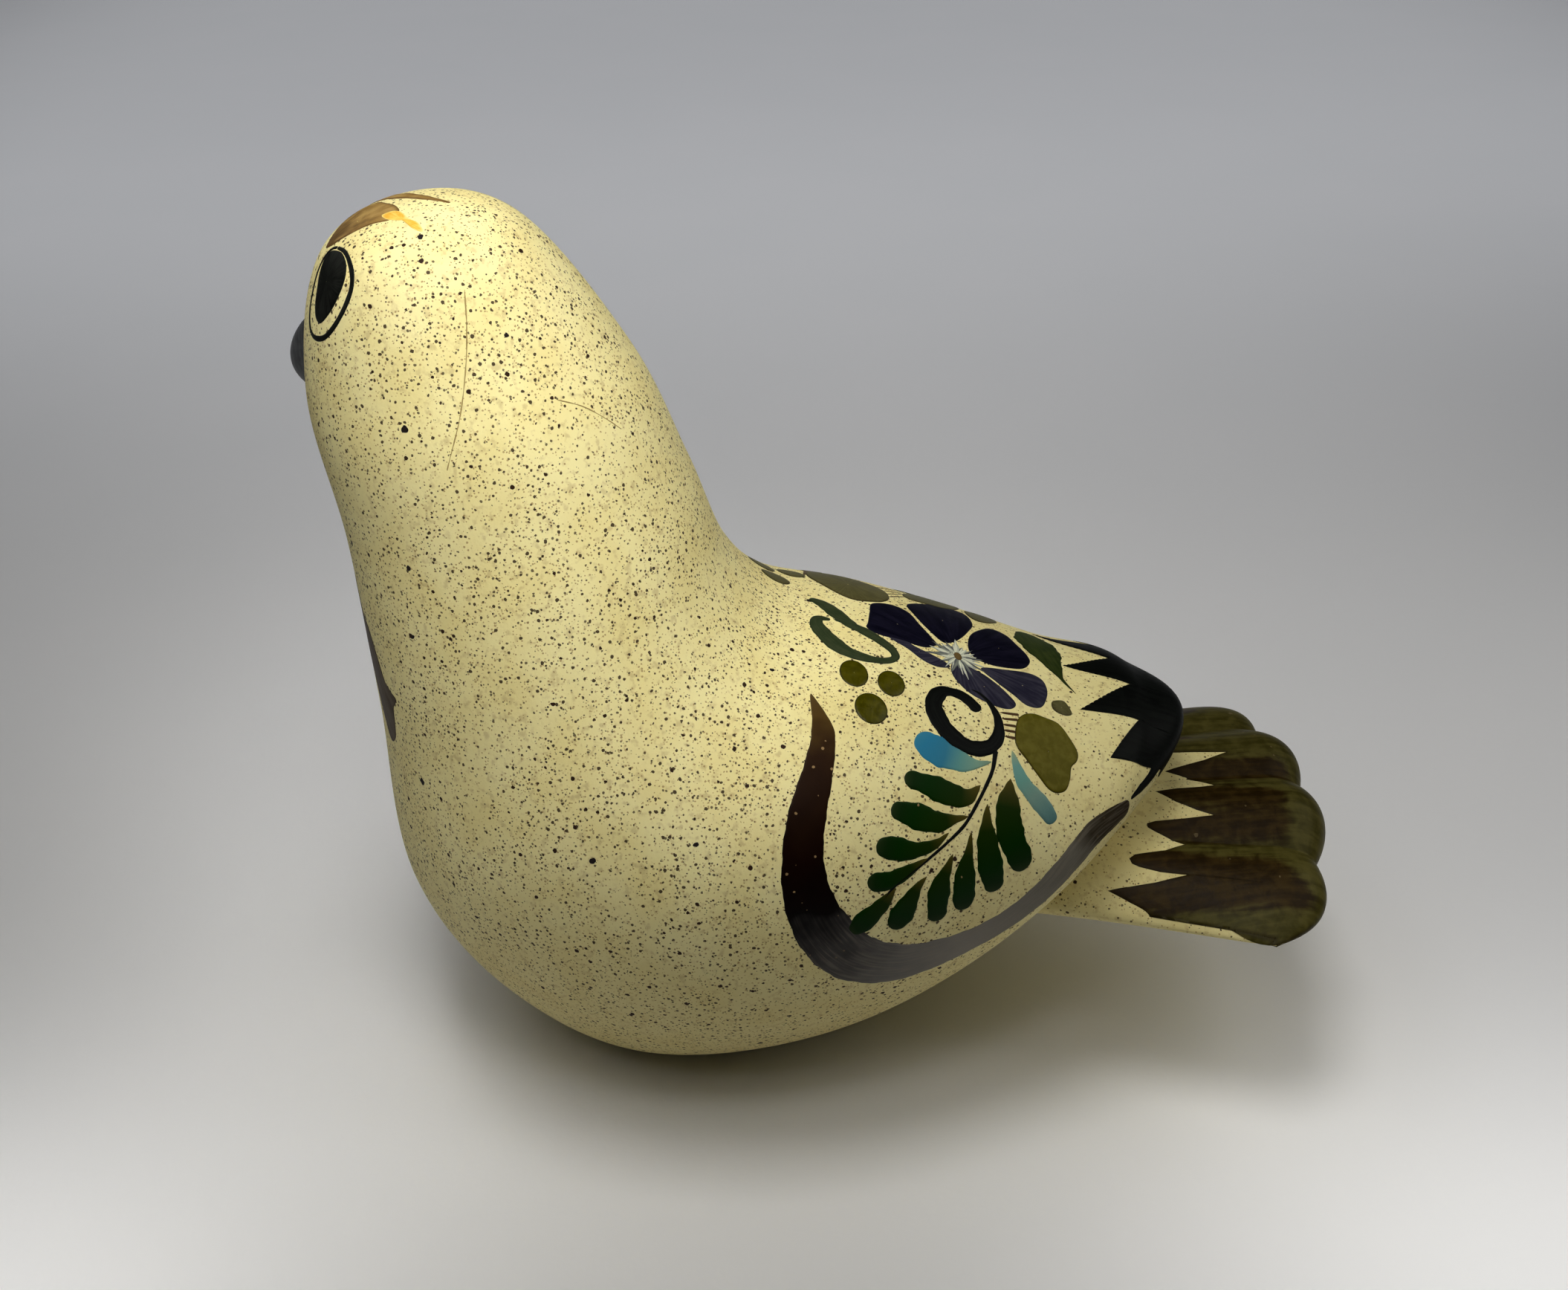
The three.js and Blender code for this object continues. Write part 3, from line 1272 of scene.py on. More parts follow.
@dataclass(frozen=True)
class FadingGlaze(Finish):
    """A brush-load of glaze whose colour changes on its way.

    Attributes:
        name: The material's name.
        stops: The shares of the way and the colour at each.
        pale: The colour of the dry brush marks in it.
        dry_from: The share of the way from which the brush was dry.
        bubbles: How much of it has pinholes.
        pinhole: The colour of the clay in them.
        rough: How rough it is.
        relief: How deep its unevenness is, in millimetres.
    """

    name: str
    stops: tuple[tuple[float, Shade], ...]
    pale: Shade = (134, 124, 108)
    dry_from: float = 2.0
    bubbles: float = 0.05
    pinhole: Shade = (176, 150, 108)
    rough: float = 0.38
    relief: float = 0.03

    def make(self) -> Material:
        """Makes the material.

        Returns:
            The material.
        """
        mix = Recipe(self.name)
        share = mix.axis(mix.stored("grain").outputs["Vector"], "Z")
        way = mix.sum("ADD", share, mix.line(mix.noise(5), 0.1, -0.05), clamp=True)
        pulled = mix.streaks(0.16, 2.4, detail=6)
        dry = mix.remap(way, self.dry_from - 0.06, self.dry_from + 0.08)
        bare = mix.times(mix.remap(pulled, 0.42, 0.68), dry)
        colour = mix.over(mix.ramp(way, self.stops), self.pale, bare, 0.35)
        wet = mix.line(mix.sum("SUBTRACT", 1.0, dry), 0.7, 0.1)
        holes = mix.times(mix.specks(1.5, 0.1, 0.32, self.bubbles), wet)
        colour = mix.mix(holes, colour, self.pinhole)
        rough = mix.line(dry, 0.2, self.rough, clamp=True)
        height = mix.sum("ADD", mix.times(pulled, dry), mix.noise(0.7))
        return mix.shade(colour, rough, height, self.relief, shine=0.08)


@dataclass(frozen=True)
class MeltedGlaze(Finish):
    """Two glazes that have run into each other along the marks of the brush.

    Attributes:
        name: The material's name.
        first: The dark and the pale colour of the first glaze.
        second: The same of the second.
        edge: Its colour along its edge.
        bubbles: How much of it has pinholes.
        pinhole: The colour of the clay in them.
        rough: How rough it is.
    """

    name: str
    first: tuple[Shade, Shade]
    second: tuple[Shade, Shade]
    edge: Shade
    bubbles: float = 0.1
    pinhole: Shade = (128, 114, 84)
    rough: float = 0.42

    def make(self) -> Material:
        """Makes the material.

        Returns:
            The material.
        """
        mix = Recipe(self.name)
        pulled = mix.streaks(0.09, 0.8, detail=5)
        cloudy = mix.noise(2.4, detail=5, swirl=0.5)
        uneven = mix.line(pulled, 0.9, mix.times(cloudy, 0.5))
        way = mix.axis(mix.stored("grain").outputs["Vector"], "Z")
        share = mix.remap(mix.sum("ADD", way, uneven), 0.85, 1.4)
        tone = mix.remap(mix.sum("ADD", cloudy, pulled), 0.75, 1.25)
        colour = mix.mix(share, mix.mix(tone, *self.first), mix.mix(tone, *self.second))
        near = mix.remap(mix.stored("rim").outputs["Fac"], 0.9, 0.1)
        colour = mix.over(colour, self.edge, near, 0.6)
        holes = mix.specks(2.2, 0.12, 0.5, self.bubbles)
        colour = mix.over(colour, self.pinhole, holes, 0.55)
        rough = mix.line(cloudy, 0.2, self.rough - 0.1, clamp=True)
        height = mix.sum("ADD", mix.times(pulled, 0.8), mix.noise(1.1))
        return mix.shade(colour, rough, height, depth=0.06, shine=0.12)


class GlazeLayer:
    """Marks of glaze that make up one piece."""

    def __init__(self, name: str, ground: Ground, chart: Chart) -> None:
        """Starts a piece.

        Args:
            name: The piece's name.
            ground: The clay that its marks lie on.
            chart: The chart that they are measured in.
        """
        self.name = name
        self.ground = ground
        self.chart = chart
        self.patches: list[Patch] = []
        self.finishes: list[Finish] = []

    def add(self, patch: Patch, finish: Finish) -> None:
        """Adds a skin of glaze of one finish."""
        self.patches.append(patch)
        self.finishes.append(finish)

    def paint(self, finish: Finish, *marks: Stroke | Pool) -> None:
        """Adds marks of one finish.

        Args:
            finish: The finish.
            *marks: The marks.
        """
        for mark in marks:
            self.add(mark.patch(self.ground, self.chart), finish)

    def piece(self, side: Side = Side.LEFT) -> Object:
        """Makes the piece.

        Args:
            side: RIGHT mirrors what was measured on the left.

        Returns:
            The piece, riding on the bird.
        """
        patches = self.patches
        if side is Side.RIGHT:
            patches = [patch.mirrored() for patch in patches]
        starts = np.cumsum([0, *[len(p.points) for p in patches]])
        faces = np.vstack([p.faces + s for p, s in zip(patches, starts)])
        made = new_object(self.name, np.vstack([p.points for p in patches]), faces.tolist())
        used = list(dict.fromkeys(self.finishes))
        for finish in used:
            made.data.materials.append(finish.material())
        counts = [len(p.faces) for p in patches]
        slots = np.repeat([used.index(finish) for finish in self.finishes], counts)
        made.data.polygons.foreach_set("material_index", slots.astype(np.int32))
        grain = np.vstack([p.grain for p in patches])
        store_grain(made, grain, np.concatenate([p.rim for p in patches]))
        return settle_piece(made)


CLAY = SpeckledClay()
RAW = RawClay()
BLACK = BrushedGlaze("black_glaze", (8, 10, 8), (20, 24, 20), (12, 15, 13), rough=0.42, streaks=0.7)
FERN = FadingGlaze(
    "fern_green",
    stops=(
        (0.0, (96, 84, 34)), (0.3, (32, 54, 4)), (0.7, (12, 52, 4)), (0.88, (20, 50, 12)),
        (1.0, (44, 60, 30)),
    ),
)
LOOP_GREEN = BrushedGlaze("grey_green", (56, 68, 44), (74, 82, 58), (42, 52, 38), rough=0.45)
LEAF_GREEN = BrushedGlaze("leaf_green", (46, 60, 22), (70, 80, 40), (40, 50, 24), rough=0.45)
BLUE = FadingGlaze(
    "sky_blue",
    stops=(
        (0.0, (130, 152, 130)), (0.2, (134, 166, 148)), (0.42, (104, 154, 150)),
        (0.62, (62, 130, 154)), (0.85, (54, 132, 162)), (1.0, (68, 138, 162)),
    ),
)
BLUE_GREY = FadingGlaze(
    "blue_grey",
    stops=(
        (0.0, (160, 172, 140)), (0.2, (122, 166, 158)), (0.4, (118, 164, 152)),
        (0.6, (130, 158, 146)), (0.8, (114, 148, 142)), (1.0, (92, 128, 128)),
    ),
)
NAVY = BrushedGlaze("navy", (10, 9, 28), (32, 30, 48), (28, 29, 42), rough=0.42, streaks=0.75)
THIN_NAVY = BrushedGlaze(
    "thin_navy", (44, 43, 60), (76, 74, 86), (48, 50, 62), rough=0.45, streaks=0.8
)
OLIVE = BrushedGlaze(
    "olive", (98, 92, 14), (114, 107, 36), (54, 42, 12), rough=0.34, streaks=0.15, edge_width=0.35,
    shine=0.12
)
WET_OLIVE = BrushedGlaze(
    "wet_olive", (74, 71, 4), (88, 84, 12), (34, 24, 6), rough=0.18, streaks=0.15, edge_width=0.4,
    relief=0.06, shine=0.2
)
BROWN_OLIVE = BrushedGlaze("brown_olive", (90, 86, 52), (114, 110, 74), (60, 52, 34), rough=0.4)
HAIR_BROWN = BrushedGlaze("hair_brown", (84, 62, 40), (104, 80, 52), (84, 62, 40), rough=0.5)
CRAZE = BrushedGlaze("craze_brown", (150, 130, 84), (190, 172, 120), (170, 150, 100), rough=0.6)
PALE_STAR = BrushedGlaze(
    "pale_star", (226, 226, 204), (186, 190, 174), (138, 142, 140), rough=0.5, streaks=0.8,
    edge_width=0.3
)
GREY_STAR = BrushedGlaze(
    "grey_star", (140, 144, 132), (92, 96, 100), (70, 72, 82), rough=0.5, streaks=0.8, edge_width=0.3
)
SEED_BROWN = BrushedGlaze("seed_brown", (104, 86, 50), (134, 112, 72), (72, 58, 36), rough=0.45)
WING = FadingGlaze(
    "wing_glaze",
    stops=(
        (0.0, (102, 84, 56)), (0.05, (92, 72, 36)), (0.11, (54, 34, 16)), (0.26, (26, 8, 4)),
        (0.36, (9, 5, 4)), (0.415, (66, 63, 62)), (0.53, (122, 119, 114)),
        (0.64, (146, 141, 132)), (0.86, (124, 120, 108)), (0.94, (64, 56, 40)),
        (1.0, (64, 52, 36)),
    ),
    pale=(150, 142, 128),
    dry_from=0.4,
    bubbles=0.5,
)
BREAST = BrushedGlaze(
    "breast_glaze", (78, 66, 50), (104, 92, 74), (72, 58, 42), rough=0.45, streaks=0.8
)
BROW = MeltedGlaze(
    "brow_glaze", first=((98, 74, 42), (132, 108, 70)), second=((150, 120, 64), (182, 154, 98)),
    edge=(92, 60, 28), rough=0.4, bubbles=0.0
)
ORANGE = BrushedGlaze(
    "orange_smear", (226, 176, 62), (232, 208, 118), (236, 222, 158), rough=0.5, edge_width=0.9
)
EYE_BLACK = BrushedGlaze(
    "eye_black", (16, 17, 15), (44, 46, 42), (28, 30, 28), rough=0.4, streaks=0.6
)
TAIL_GLAZE = MeltedGlaze(
    "tail_glaze", first=((44, 30, 3), (68, 52, 16)), second=((68, 63, 20), (94, 88, 44)),
    edge=(44, 34, 12), bubbles=0.14
)
BEAK_GREY = BrushedGlaze(
    "beak_grey", (66, 68, 70), (100, 102, 104), (66, 66, 66), rough=0.35, shine=0.4
)


@dataclass
class ClayBody:
    """The hollow body and head, in its two pressed halves.

    Attributes:
        form: The body's shape.
        stations: How many steps its skin has from the crown to the rump.
        sides: How many steps its skin has round.
        hollow_stations: How many steps the hollow has from end to end.
        hollow_sides: How many points it has from the back to the front.
        vent_bore: The width of the hole that lets air out in the kiln.
        vent_place: How far behind the breast that hole is.
        sharp_edge: The angle from which an edge looks sharp, in degrees.
    """

    form: BodyForm = field(default_factory=BodyForm)
    stations: int = 260
    sides: int = 220
    hollow_stations: int = 60
    hollow_sides: int = 29
    vent_bore: float = 7.0
    vent_place: float = 0.345 * 142.0
    sharp_edge: float = 38.0

    def build(self) -> Ground:
        """Makes both halves and finishes the coil inside.

        Returns:
            The clay, for the glaze to be laid on.
        """
        ground = Ground(self.form, self.stations, self.sides)
        for side, node in ((Side.LEFT, "body_left_half"), (Side.RIGHT, "body_right_half")):
            half = self._half(ground, side)
            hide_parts(node)
            settle_piece(half)
        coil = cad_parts["seam_coil"]
        coil.data.materials.clear()
        coil.data.materials.append(RAW.material())
        return ground

    def _half(self, ground: Ground, side: Side) -> Object:
        """Makes one half as a closed shell.

        Args:
            ground: The clay's chart.
            side: Which half.

        Returns:
            The half.
        """
        columns = self.sides // 2 + 1
        skin = self.form.outside(ground.station[:, :columns], ground.angle[:, :columns])
        skin = skin - ground.normals[:, :columns] * GLAZE_ROOM
        skin[..., 2] = np.maximum(skin[..., 2], 0)
        skin[:, [0, -1], 0] = 0
        hollow = self._hollow()
        verts = np.vstack([skin.reshape(-1, 3), hollow.reshape(-1, 3)])
        start = len(skin) * columns
        outer = grid_faces(len(skin), columns)[:, ::-1].tolist()
        inner = (grid_faces(len(hollow), self.hollow_sides) + start).tolist()
        cuts = (grid_loop(len(skin), columns), grid_loop(len(hollow), self.hollow_sides, start))
        flat = [[Vector((verts[k][1], verts[k][2], 0)) for k in cut] for cut in cuts]
        order = cuts[0] + cuts[1]
        seam = [[order[k] for k in triangle] for triangle in tessellate_polygon(flat)]
        name = f"body_{side.name.lower()}_skin"
        made = new_object(name, verts * [side.value, 1, 1], outer + inner + seam)
        weld(made, outwards=True)
        self._bore_vent(made)
        self._dress(made)
        return made

    def _hollow(self) -> Array:
        """Reads half the surface of the hollow.

        Returns:
            The grid of its points.
        """
        stations = np.linspace(0, 1, self.hollow_stations + 1)
        angles = np.linspace(0, np.pi, self.hollow_sides)
        grid = np.meshgrid(stations, angles, indexing="ij")
        points = self.form.skin(self.form.hollow_outline(), *grid)
        points[:, [0, -1], 0] = 0
        return points

    def _bore_vent(self, made: Object) -> None:
        """Bores the vent through the foot.

        Args:
            made: The half.
        """
        count = 48
        edge = ring((0.0, self.vent_place), self.vent_bore / 2, self.vent_bore / 2, count=count)
        levels = [np.column_stack([edge, np.full(count, z)]) for z in (-4.0, 4 * self.form.wall)]
        sides = grid_faces(2, count, closed=True)[:, ::-1].tolist()
        caps = [list(range(count))[::-1], list(range(count, 2 * count))]
        tool = new_object("vent_tool", np.vstack(levels), sides + caps)
        weld(tool, outwards=True)
        cut = made.modifiers.new("vent", "BOOLEAN")
        cut.operation = "DIFFERENCE"
        cut.solver = "EXACT"
        cut.object = tool
        bpy.context.view_layer.update()
        cut_half = made.evaluated_get(bpy.context.evaluated_depsgraph_get())
        bored = bpy.data.meshes.new_from_object(cut_half)
        made.modifiers.clear()
        made.data = bored
        bpy.data.objects.remove(tool)

    def _dress(self, made: Object) -> None:
        """Gives a half its finishes, and makes the joint with the other half invisible.

        Args:
            made: The half.
        """
        mesh = made.data
        mesh.materials.clear()
        for finish in (CLAY, RAW):
            mesh.materials.append(finish.material())
        mesh.shade_smooth()
        mesh.set_sharp_from_angle(angle=math.radians(self.sharp_edge))
        places = read_each(mesh.vertices, "co")
        facing = read_each(mesh.polygons, "normal")
        middles = read_each(mesh.polygons, "center")
        seam = np.abs(facing[:, 0]) * (np.abs(middles[:, 0]) < 1e-6) > 0.99
        foot = middles[:, 2] < 1e-5
        mesh.polygons.foreach_set("material_index", (seam | foot).astype(np.int32))
        normals = read_each(mesh.corner_normals, "vector")
        owner = read_each(mesh.loops, "vertex_index", 1, np.int32)[:, 0]
        counts = read_each(mesh.polygons, "loop_total", 1, np.int32)[:, 0]
        joint = (np.abs(places[owner, 0]) < 1e-7) & ~np.repeat(seam, counts)
        normals[joint, 0] = 0
        mesh.normals_split_custom_set(unit(normals).tolist())


@dataclass
class TailFan:
    """The fluted tail, of the body's clay."""

    form: TailForm = field(default_factory=TailForm)
    stations: int = 150
    sides: int = 260

    def build(self) -> Ground:
        """Makes the tail.

        Returns:
            Its clay, for the glaze to be laid on.
        """
        valley = math.asin(self.form.flute_width / self.form.half_width)
        creases = (valley, math.pi - valley, math.pi, math.pi + valley, 2 * math.pi - valley)
        ground = Ground(self.form, self.stations, self.sides, creases)
        skin = ground.points - ground.normals * GLAZE_ROOM
        skin[0] = ground.points[0]
        faces = grid_faces(self.stations + 1, self.sides, closed=True)[:, ::-1]
        made = new_object("tail_fan_skin", skin[:, :-1].reshape(-1, 3), faces.tolist())
        weld(made, 0.02)
        made.data.shade_smooth()
        made.data.materials.append(CLAY.material())
        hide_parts("tail_fan")
        settle_piece(made)
        return ground


@dataclass
class Beak:
    """The small drooping beak on the turned head.

    Attributes:
        seat_height: How high up the head it is seated.
        length: How far it stands out.
        base_height: How tall it is at the head.
        base_width: How wide it is there.
        droop: How far its tip hangs down.
        fullness: How blunt it is.
        rings: How many steps its skin has along it.
        sides: How many steps its skin has round.
    """

    seat_height: float = 0.827 * 156.5
    length: float = 11.4
    base_height: float = 20.6
    base_width: float = 11.0
    droop: float = 4.0
    fullness: float = 2.2
    rings: int = 40
    sides: int = 48

    def build(self, body: BodyForm) -> None:
        """Makes the beak.

        Args:
            body: The head that it sits on.
        """
        middle, radius = self._seat(body)
        turned = math.radians(HEAD_TURN)
        forward = np.array([-math.sin(turned), -math.cos(turned), 0])
        sideways = np.cross(forward, [0, 0, 1])
        rings = np.sin(np.linspace(0, np.pi / 2, self.rings))
        turns = np.linspace(0, 2 * np.pi, self.sides, endpoint=False)
        along, angle = np.meshgrid(rings, turns, indexing="ij")
        girth = np.sqrt(1 - along**self.fullness) * np.minimum(1, along * 8)
        run = radius / 2 + (radius / 2 + self.length) * along
        points = middle + forward * run[..., None]
        points = points + sideways * (self.base_width / 2 * girth * np.sin(angle))[..., None]
        points[..., 2] += self.base_height / 2 * girth * np.cos(angle) - self.droop * along**2
        faces = grid_faces(self.rings, self.sides, closed=True)
        made = new_object("beak_skin", points.reshape(-1, 3), faces.tolist())
        weld(made, outwards=True)
        made.data.shade_smooth()
        made.data.materials.append(BEAK_GREY.material())
        grain = read_each(made.data.vertices, "co") / MM
        store_grain(made, grain, np.full(len(grain), FAR_FROM_EDGE))
        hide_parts("beak")
        settle_piece(made)

    def _seat(self, body: BodyForm) -> tuple[Array, float]:
        """Finds where on the head the beak is seated.

        Args:
            body: The head.

        Returns:
            The middle of the head at that height, and the head's radius there.
        """
        count = 208
        levels = np.arange(count) / (2 * count)
        back, flank, front = (
            body.outside(levels, np.full(count, angle)) for angle in (0, np.pi / 2, np.pi)
        )
        middle = (back + front) / 2
        best = int(np.argmin(np.abs(middle[:, 2] - self.seat_height)))
        depth = np.linalg.norm(back - front, axis=1)[best]
        return middle[best], (depth / 2 + flank[best, 0]) / 2


@dataclass
class Face:
    """The painted eyes and brows of the turned head."""

    head_middle: Point = (0.0, 26.0)
    ring: Line = (
        (12.8, 124.6), (15.1, 124.3), (17.2, 123.2), (19.0, 121.4), (19.7, 119.4), (19.4, 117.2),
        (18.4, 114.9), (16.9, 112.9), (15.1, 111.5), (13.0, 111.0), (11.1, 111.3), (9.7, 112.6),
        (9.2, 115.0), (9.4, 117.7), (9.6, 120.6), (10.3, 123.0), (11.5, 124.3), (12.8, 124.6),
    )
    ring_widths: Widths = (
        0.6, 0.7, 0.8, 0.9, 0.9, 0.9, 0.9, 0.9, 0.9, 0.9, 0.8, 0.7, 0.6, 0.6, 0.6, 0.6, 0.6, 0.6,
    )
    pupil: Line = (
        (12.4, 124.1), (14.7, 124.0), (16.8, 122.8), (17.8, 121.2), (17.9, 119.2), (17.1, 116.7),
        (15.6, 114.6), (13.7, 113.2), (12.2, 113.6), (11.4, 115.1), (11.0, 117.9), (10.5, 120.6),
        (10.5, 122.5), (11.2, 123.7),
    )
    brow: Line = (
        (8.5, 124.2), (7.8, 125.6), (6.8, 127.6), (5.8, 130.0), (6.6, 132.3), (9.0, 133.8),
        (12.5, 133.9), (15.0, 133.8), (17.2, 133.2), (18.2, 132.3), (18.3, 131.0), (16.4, 129.8),
        (15.0, 128.6), (13.9, 127.5), (12.7, 126.4), (11.6, 125.5), (10.4, 124.6),
    )
    smear: Line = (
        (15.5, 131.4), (16.3, 132.7), (18.1, 132.9), (21.0, 132.2), (22.7, 132.0), (24.4, 131.2),
        (24.6, 130.7), (23.0, 130.8), (20.8, 131.5), (18.8, 131.1), (17.3, 130.9),
    )
    far_brow: Line = (
        (-18.2, 5.4), (-14.5, 8.6), (-9.4, 12.0), (-5.2, 15.3), (-1.6, 19.2), (1.2, 23.0), (3.0, 26.4),
    )
    far_brow_widths: Widths = (4.2, 5.4, 5.6, 5.2, 4.2, 2.6, 0.5)
    crazing: tuple[Line, ...] = (
        ((29.4, 119.5), (29.5, 113.9), (29.0, 107.9), (27.6, 100.8), (25.1, 93.6)),
        ((41.3, 103.9), (44.9, 103.1), (47.9, 101.6), (50.2, 100.1)),
    )

    def build(self, ground: Ground) -> None:
        """Paints both eyes and both brows.

        Args:
            ground: The head's clay.
        """
        for side in Side:
            eye = GlazeLayer(f"{side.name.lower()}_eye", ground, FROM_FACE)
            eye.paint(EYE_BLACK, Stroke(self.ring, self.ring_widths, End.ROUND, wobble=0.03))
            eye.paint(EYE_BLACK, Pool(self.pupil, lift=0.12))
            if side is Side.RIGHT:
                self._cross_over(eye, ground)
            eye.piece()
        near = GlazeLayer("left_brow", ground, FROM_FACE)
        near.paint(BROW, Pool(self.brow, lift=0.06, root=self.brow[0]))
        near.paint(ORANGE, Pool(self.smear, lift=0.09, roundness=0.8))
        near.piece()
        far = GlazeLayer("right_brow", ground, FROM_ABOVE)
        far.paint(BROW, Stroke(self.far_brow, self.far_brow_widths, lift=0.06, wobble=0.06))
        far.piece()
        cracks = GlazeLayer("neck_crazing", ground, FROM_LEFT)
        for path in self.crazing:
            cracks.paint(CRAZE, Stroke(path, (0.24, 0.2, 0.18), lift=0.07, wobble=0.2))
        cracks.piece()

    def _cross_over(self, layer: GlazeLayer, ground: Ground) -> None:
        """Moves a layer to the other side of the beak.

        Args:
            layer: The layer.
            ground: The head's clay.
        """
        turned = math.radians(HEAD_TURN)
        forward = np.array([-math.sin(turned), -math.cos(turned)])
        for patch in layer.patches:
            clay, out = ground.settle(patch.points)
            height = ((patch.points - clay) * out).sum(1)
            off = patch.points[:, :2] - self.head_middle
            across = 2 * (off @ forward)[:, None] * forward - off
            moved = np.column_stack([across + self.head_middle, patch.points[:, 2]])
            clay, out = ground.settle(moved)
            patch.points = clay + out * height[:, None]
            patch.faces = patch.faces[:, ::-1]


@dataclass
class BreastMark:
    """The forked mark on the breast."""

    outline: Line = (
        (0.3, 103.5), (3.6, 100.6), (6.8, 96.8), (9.9, 92.5), (13.4, 90.2), (15.8, 86.1), (17.8, 82.2),
        (20.6, 81.0), (19.4, 78.6), (19.0, 75.3), (18.3, 72.1), (16.0, 70.4), (13.8, 73.4),
        (12.2, 77.5), (10.2, 82.2), (7.6, 87.4), (4.6, 92.8), (1.8, 98.0),
    )

    def build(self, ground: Ground) -> None:
        """Paints both legs of the mark.

        Args:
            ground: The body's clay.
        """
        for side in Side:
            layer = GlazeLayer(f"{side.name.lower()}_breast_mark", ground, FROM_FRONT)
            layer.paint(BREAST, Pool(self.outline, lift=0.06, root=self.outline[0]))
            layer.piece(side)


@dataclass(frozen=True)
class Sprig:
    """A stem with leaves along it, ending in a scroll.

    Attributes:
        stem: The stem's path, from the scroll down to its foot.
        leaves: Each leaf's path, from its tip at the stem to its round end, and widths.
        blue: The same for the two blue leaves.
        scroll: The scroll's path, from the end of its spiral.
        scroll_widths: Its widths.
        hairs: The short lines from the scroll to the olive pool.
        stem_widths: The stem's widths.
    """

    stem: Line = (
        (107.5, 48.6), (106.6, 45.3), (105.2, 42.7), (103.3, 39.7), (101.2, 36.8), (98.3, 34.3),
        (95.0, 31.8), (92.2, 29.8), (89.4, 27.7), (86.6, 24.6),
    )
    leaves: tuple[tuple[Line, Widths], ...] = (
        (((104.4, 43.0), (102.0, 41.3), (99.2, 41.9), (96.2, 43.3), (93.5, 44.4), (91.8, 44.8)),
         (0.3, 2.5, 4.2, 4.2, 3.4, 2.6)),
        (((102.1, 38.2), (99.6, 37.9), (96.8, 37.7), (94.1, 38.6), (91.4, 39.6), (89.4, 40.2)),
         (0.3, 1.6, 3.5, 4.5, 3.8, 2.8)),
        (((98.7, 35.9), (96.7, 34.4), (94.6, 33.7), (92.3, 33.5), (89.6, 34.0), (86.8, 34.6)),
         (0.3, 1.4, 2.3, 3.4, 4.1, 3.0)),
        (((95.2, 32.1), (92.7, 30.7), (90.3, 29.5), (88.0, 28.8), (85.2, 28.9)),
         (0.3, 1.7, 2.6, 3.4, 2.6)),
        (((89.8, 27.7), (87.5, 25.0), (84.8, 22.6), (82.4, 20.7)),
         (0.4, 2.6, 3.9, 3.0)),
        (((109.5, 43.7), (108.9, 40.2), (108.7, 37.1), (109.2, 33.9), (110.4, 31.0), (111.1, 28.6)),
         (0.3, 3.6, 5.0, 5.0, 4.6, 3.6)),
        (((105.3, 40.0), (105.0, 36.9), (105.0, 33.5), (105.4, 30.0), (105.9, 27.4), (106.1, 25.5)),
         (0.3, 2.0, 3.8, 4.6, 4.3, 3.4)),
        (((102.3, 35.7), (101.9, 32.9), (101.3, 30.2), (101.0, 27.2), (100.9, 24.5), (101.0, 22.9)),
         (0.3, 1.3, 2.8, 4.2, 4.0, 3.2)),
        (((99.2, 32.5), (98.3, 30.3), (97.3, 28.2), (96.7, 25.7), (96.5, 23.2), (96.6, 21.4)),
         (0.3, 1.5, 3.2, 4.1, 3.6, 2.9)),
        (((94.9, 29.2), (93.3, 27.5), (91.9, 25.2), (90.5, 22.8), (89.1, 20.7)),
         (0.3, 1.6, 3.6, 4.3, 3.2)),
    )
    blue: tuple[tuple[Line, Widths], ...] = (
        (((106.6, 46.5), (104.1, 46.3), (101.7, 46.8), (99.2, 48.1), (96.7, 49.4), (94.5, 51.5)),
         (0.3, 1.5, 4.0, 5.7, 5.5, 3.8)),
        (((110.2, 48.1), (110.8, 45.4), (111.7, 42.8), (113.4, 40.5), (115.1, 38.3), (116.4, 36.0)),
         (0.4, 1.8, 2.7, 3.2, 3.2, 2.6)),
    )
    scroll: Line = (
        (105.4, 54.5), (103.6, 56.5), (101.8, 57.6), (99.3, 58.0), (97.7, 56.1), (98.7, 52.9),
        (100.9, 50.3), (103.6, 48.8), (106.5, 48.9), (108.2, 50.6), (108.4, 53.3), (107.4, 55.6),
        (105.9, 57.3), (104.3, 58.2),
    )
    scroll_widths: Widths = (
        2.6, 2.3, 2.1, 2.9, 3.3, 3.5, 3.4, 3.0, 2.8, 2.4, 1.9, 1.3, 0.8, 0.4,
    )
    hairs: tuple[Line, ...] = (
        ((108.9, 54.2), (112.3, 53.6)),
        ((109.0, 53.2), (112.0, 52.8)),
        ((109.0, 52.3), (111.5, 51.8)),
        ((109.0, 51.4), (111.3, 50.9)),
        ((109.1, 50.4), (111.2, 49.9)),
    )
    stem_widths: Widths = (0.9, 0.7, 0.6, 0.6, 0.6, 0.5, 0.5, 0.5, 0.4, 0.3)

    def shrunk(self, share: float, foot: Point) -> Sprig:
        """Makes a smaller sprig about a point that stays where it is.

        Args:
            share: How large the new sprig is.
            foot: The point that stays.

        Returns:
            The new sprig.
        """
        base = np.array(foot)

        def move(path: Line) -> Line:
            """Brings a path nearer to the foot."""
            return tuple((float(u), float(v)) for u, v in (np.array(path) - base) * share + base)

        def thin(widths: Widths) -> Widths:
            """Makes widths smaller."""
            return tuple(w * share for w in widths)

        return replace(
            self,
            stem=move(self.stem),
            leaves=tuple((move(path), thin(widths)) for path, widths in self.leaves),
            blue=tuple((move(path), thin(widths)) for path, widths in self.blue),
            scroll=move(self.scroll),
            scroll_widths=thin(self.scroll_widths),
            hairs=tuple(move(pair) for pair in self.hairs),
        )


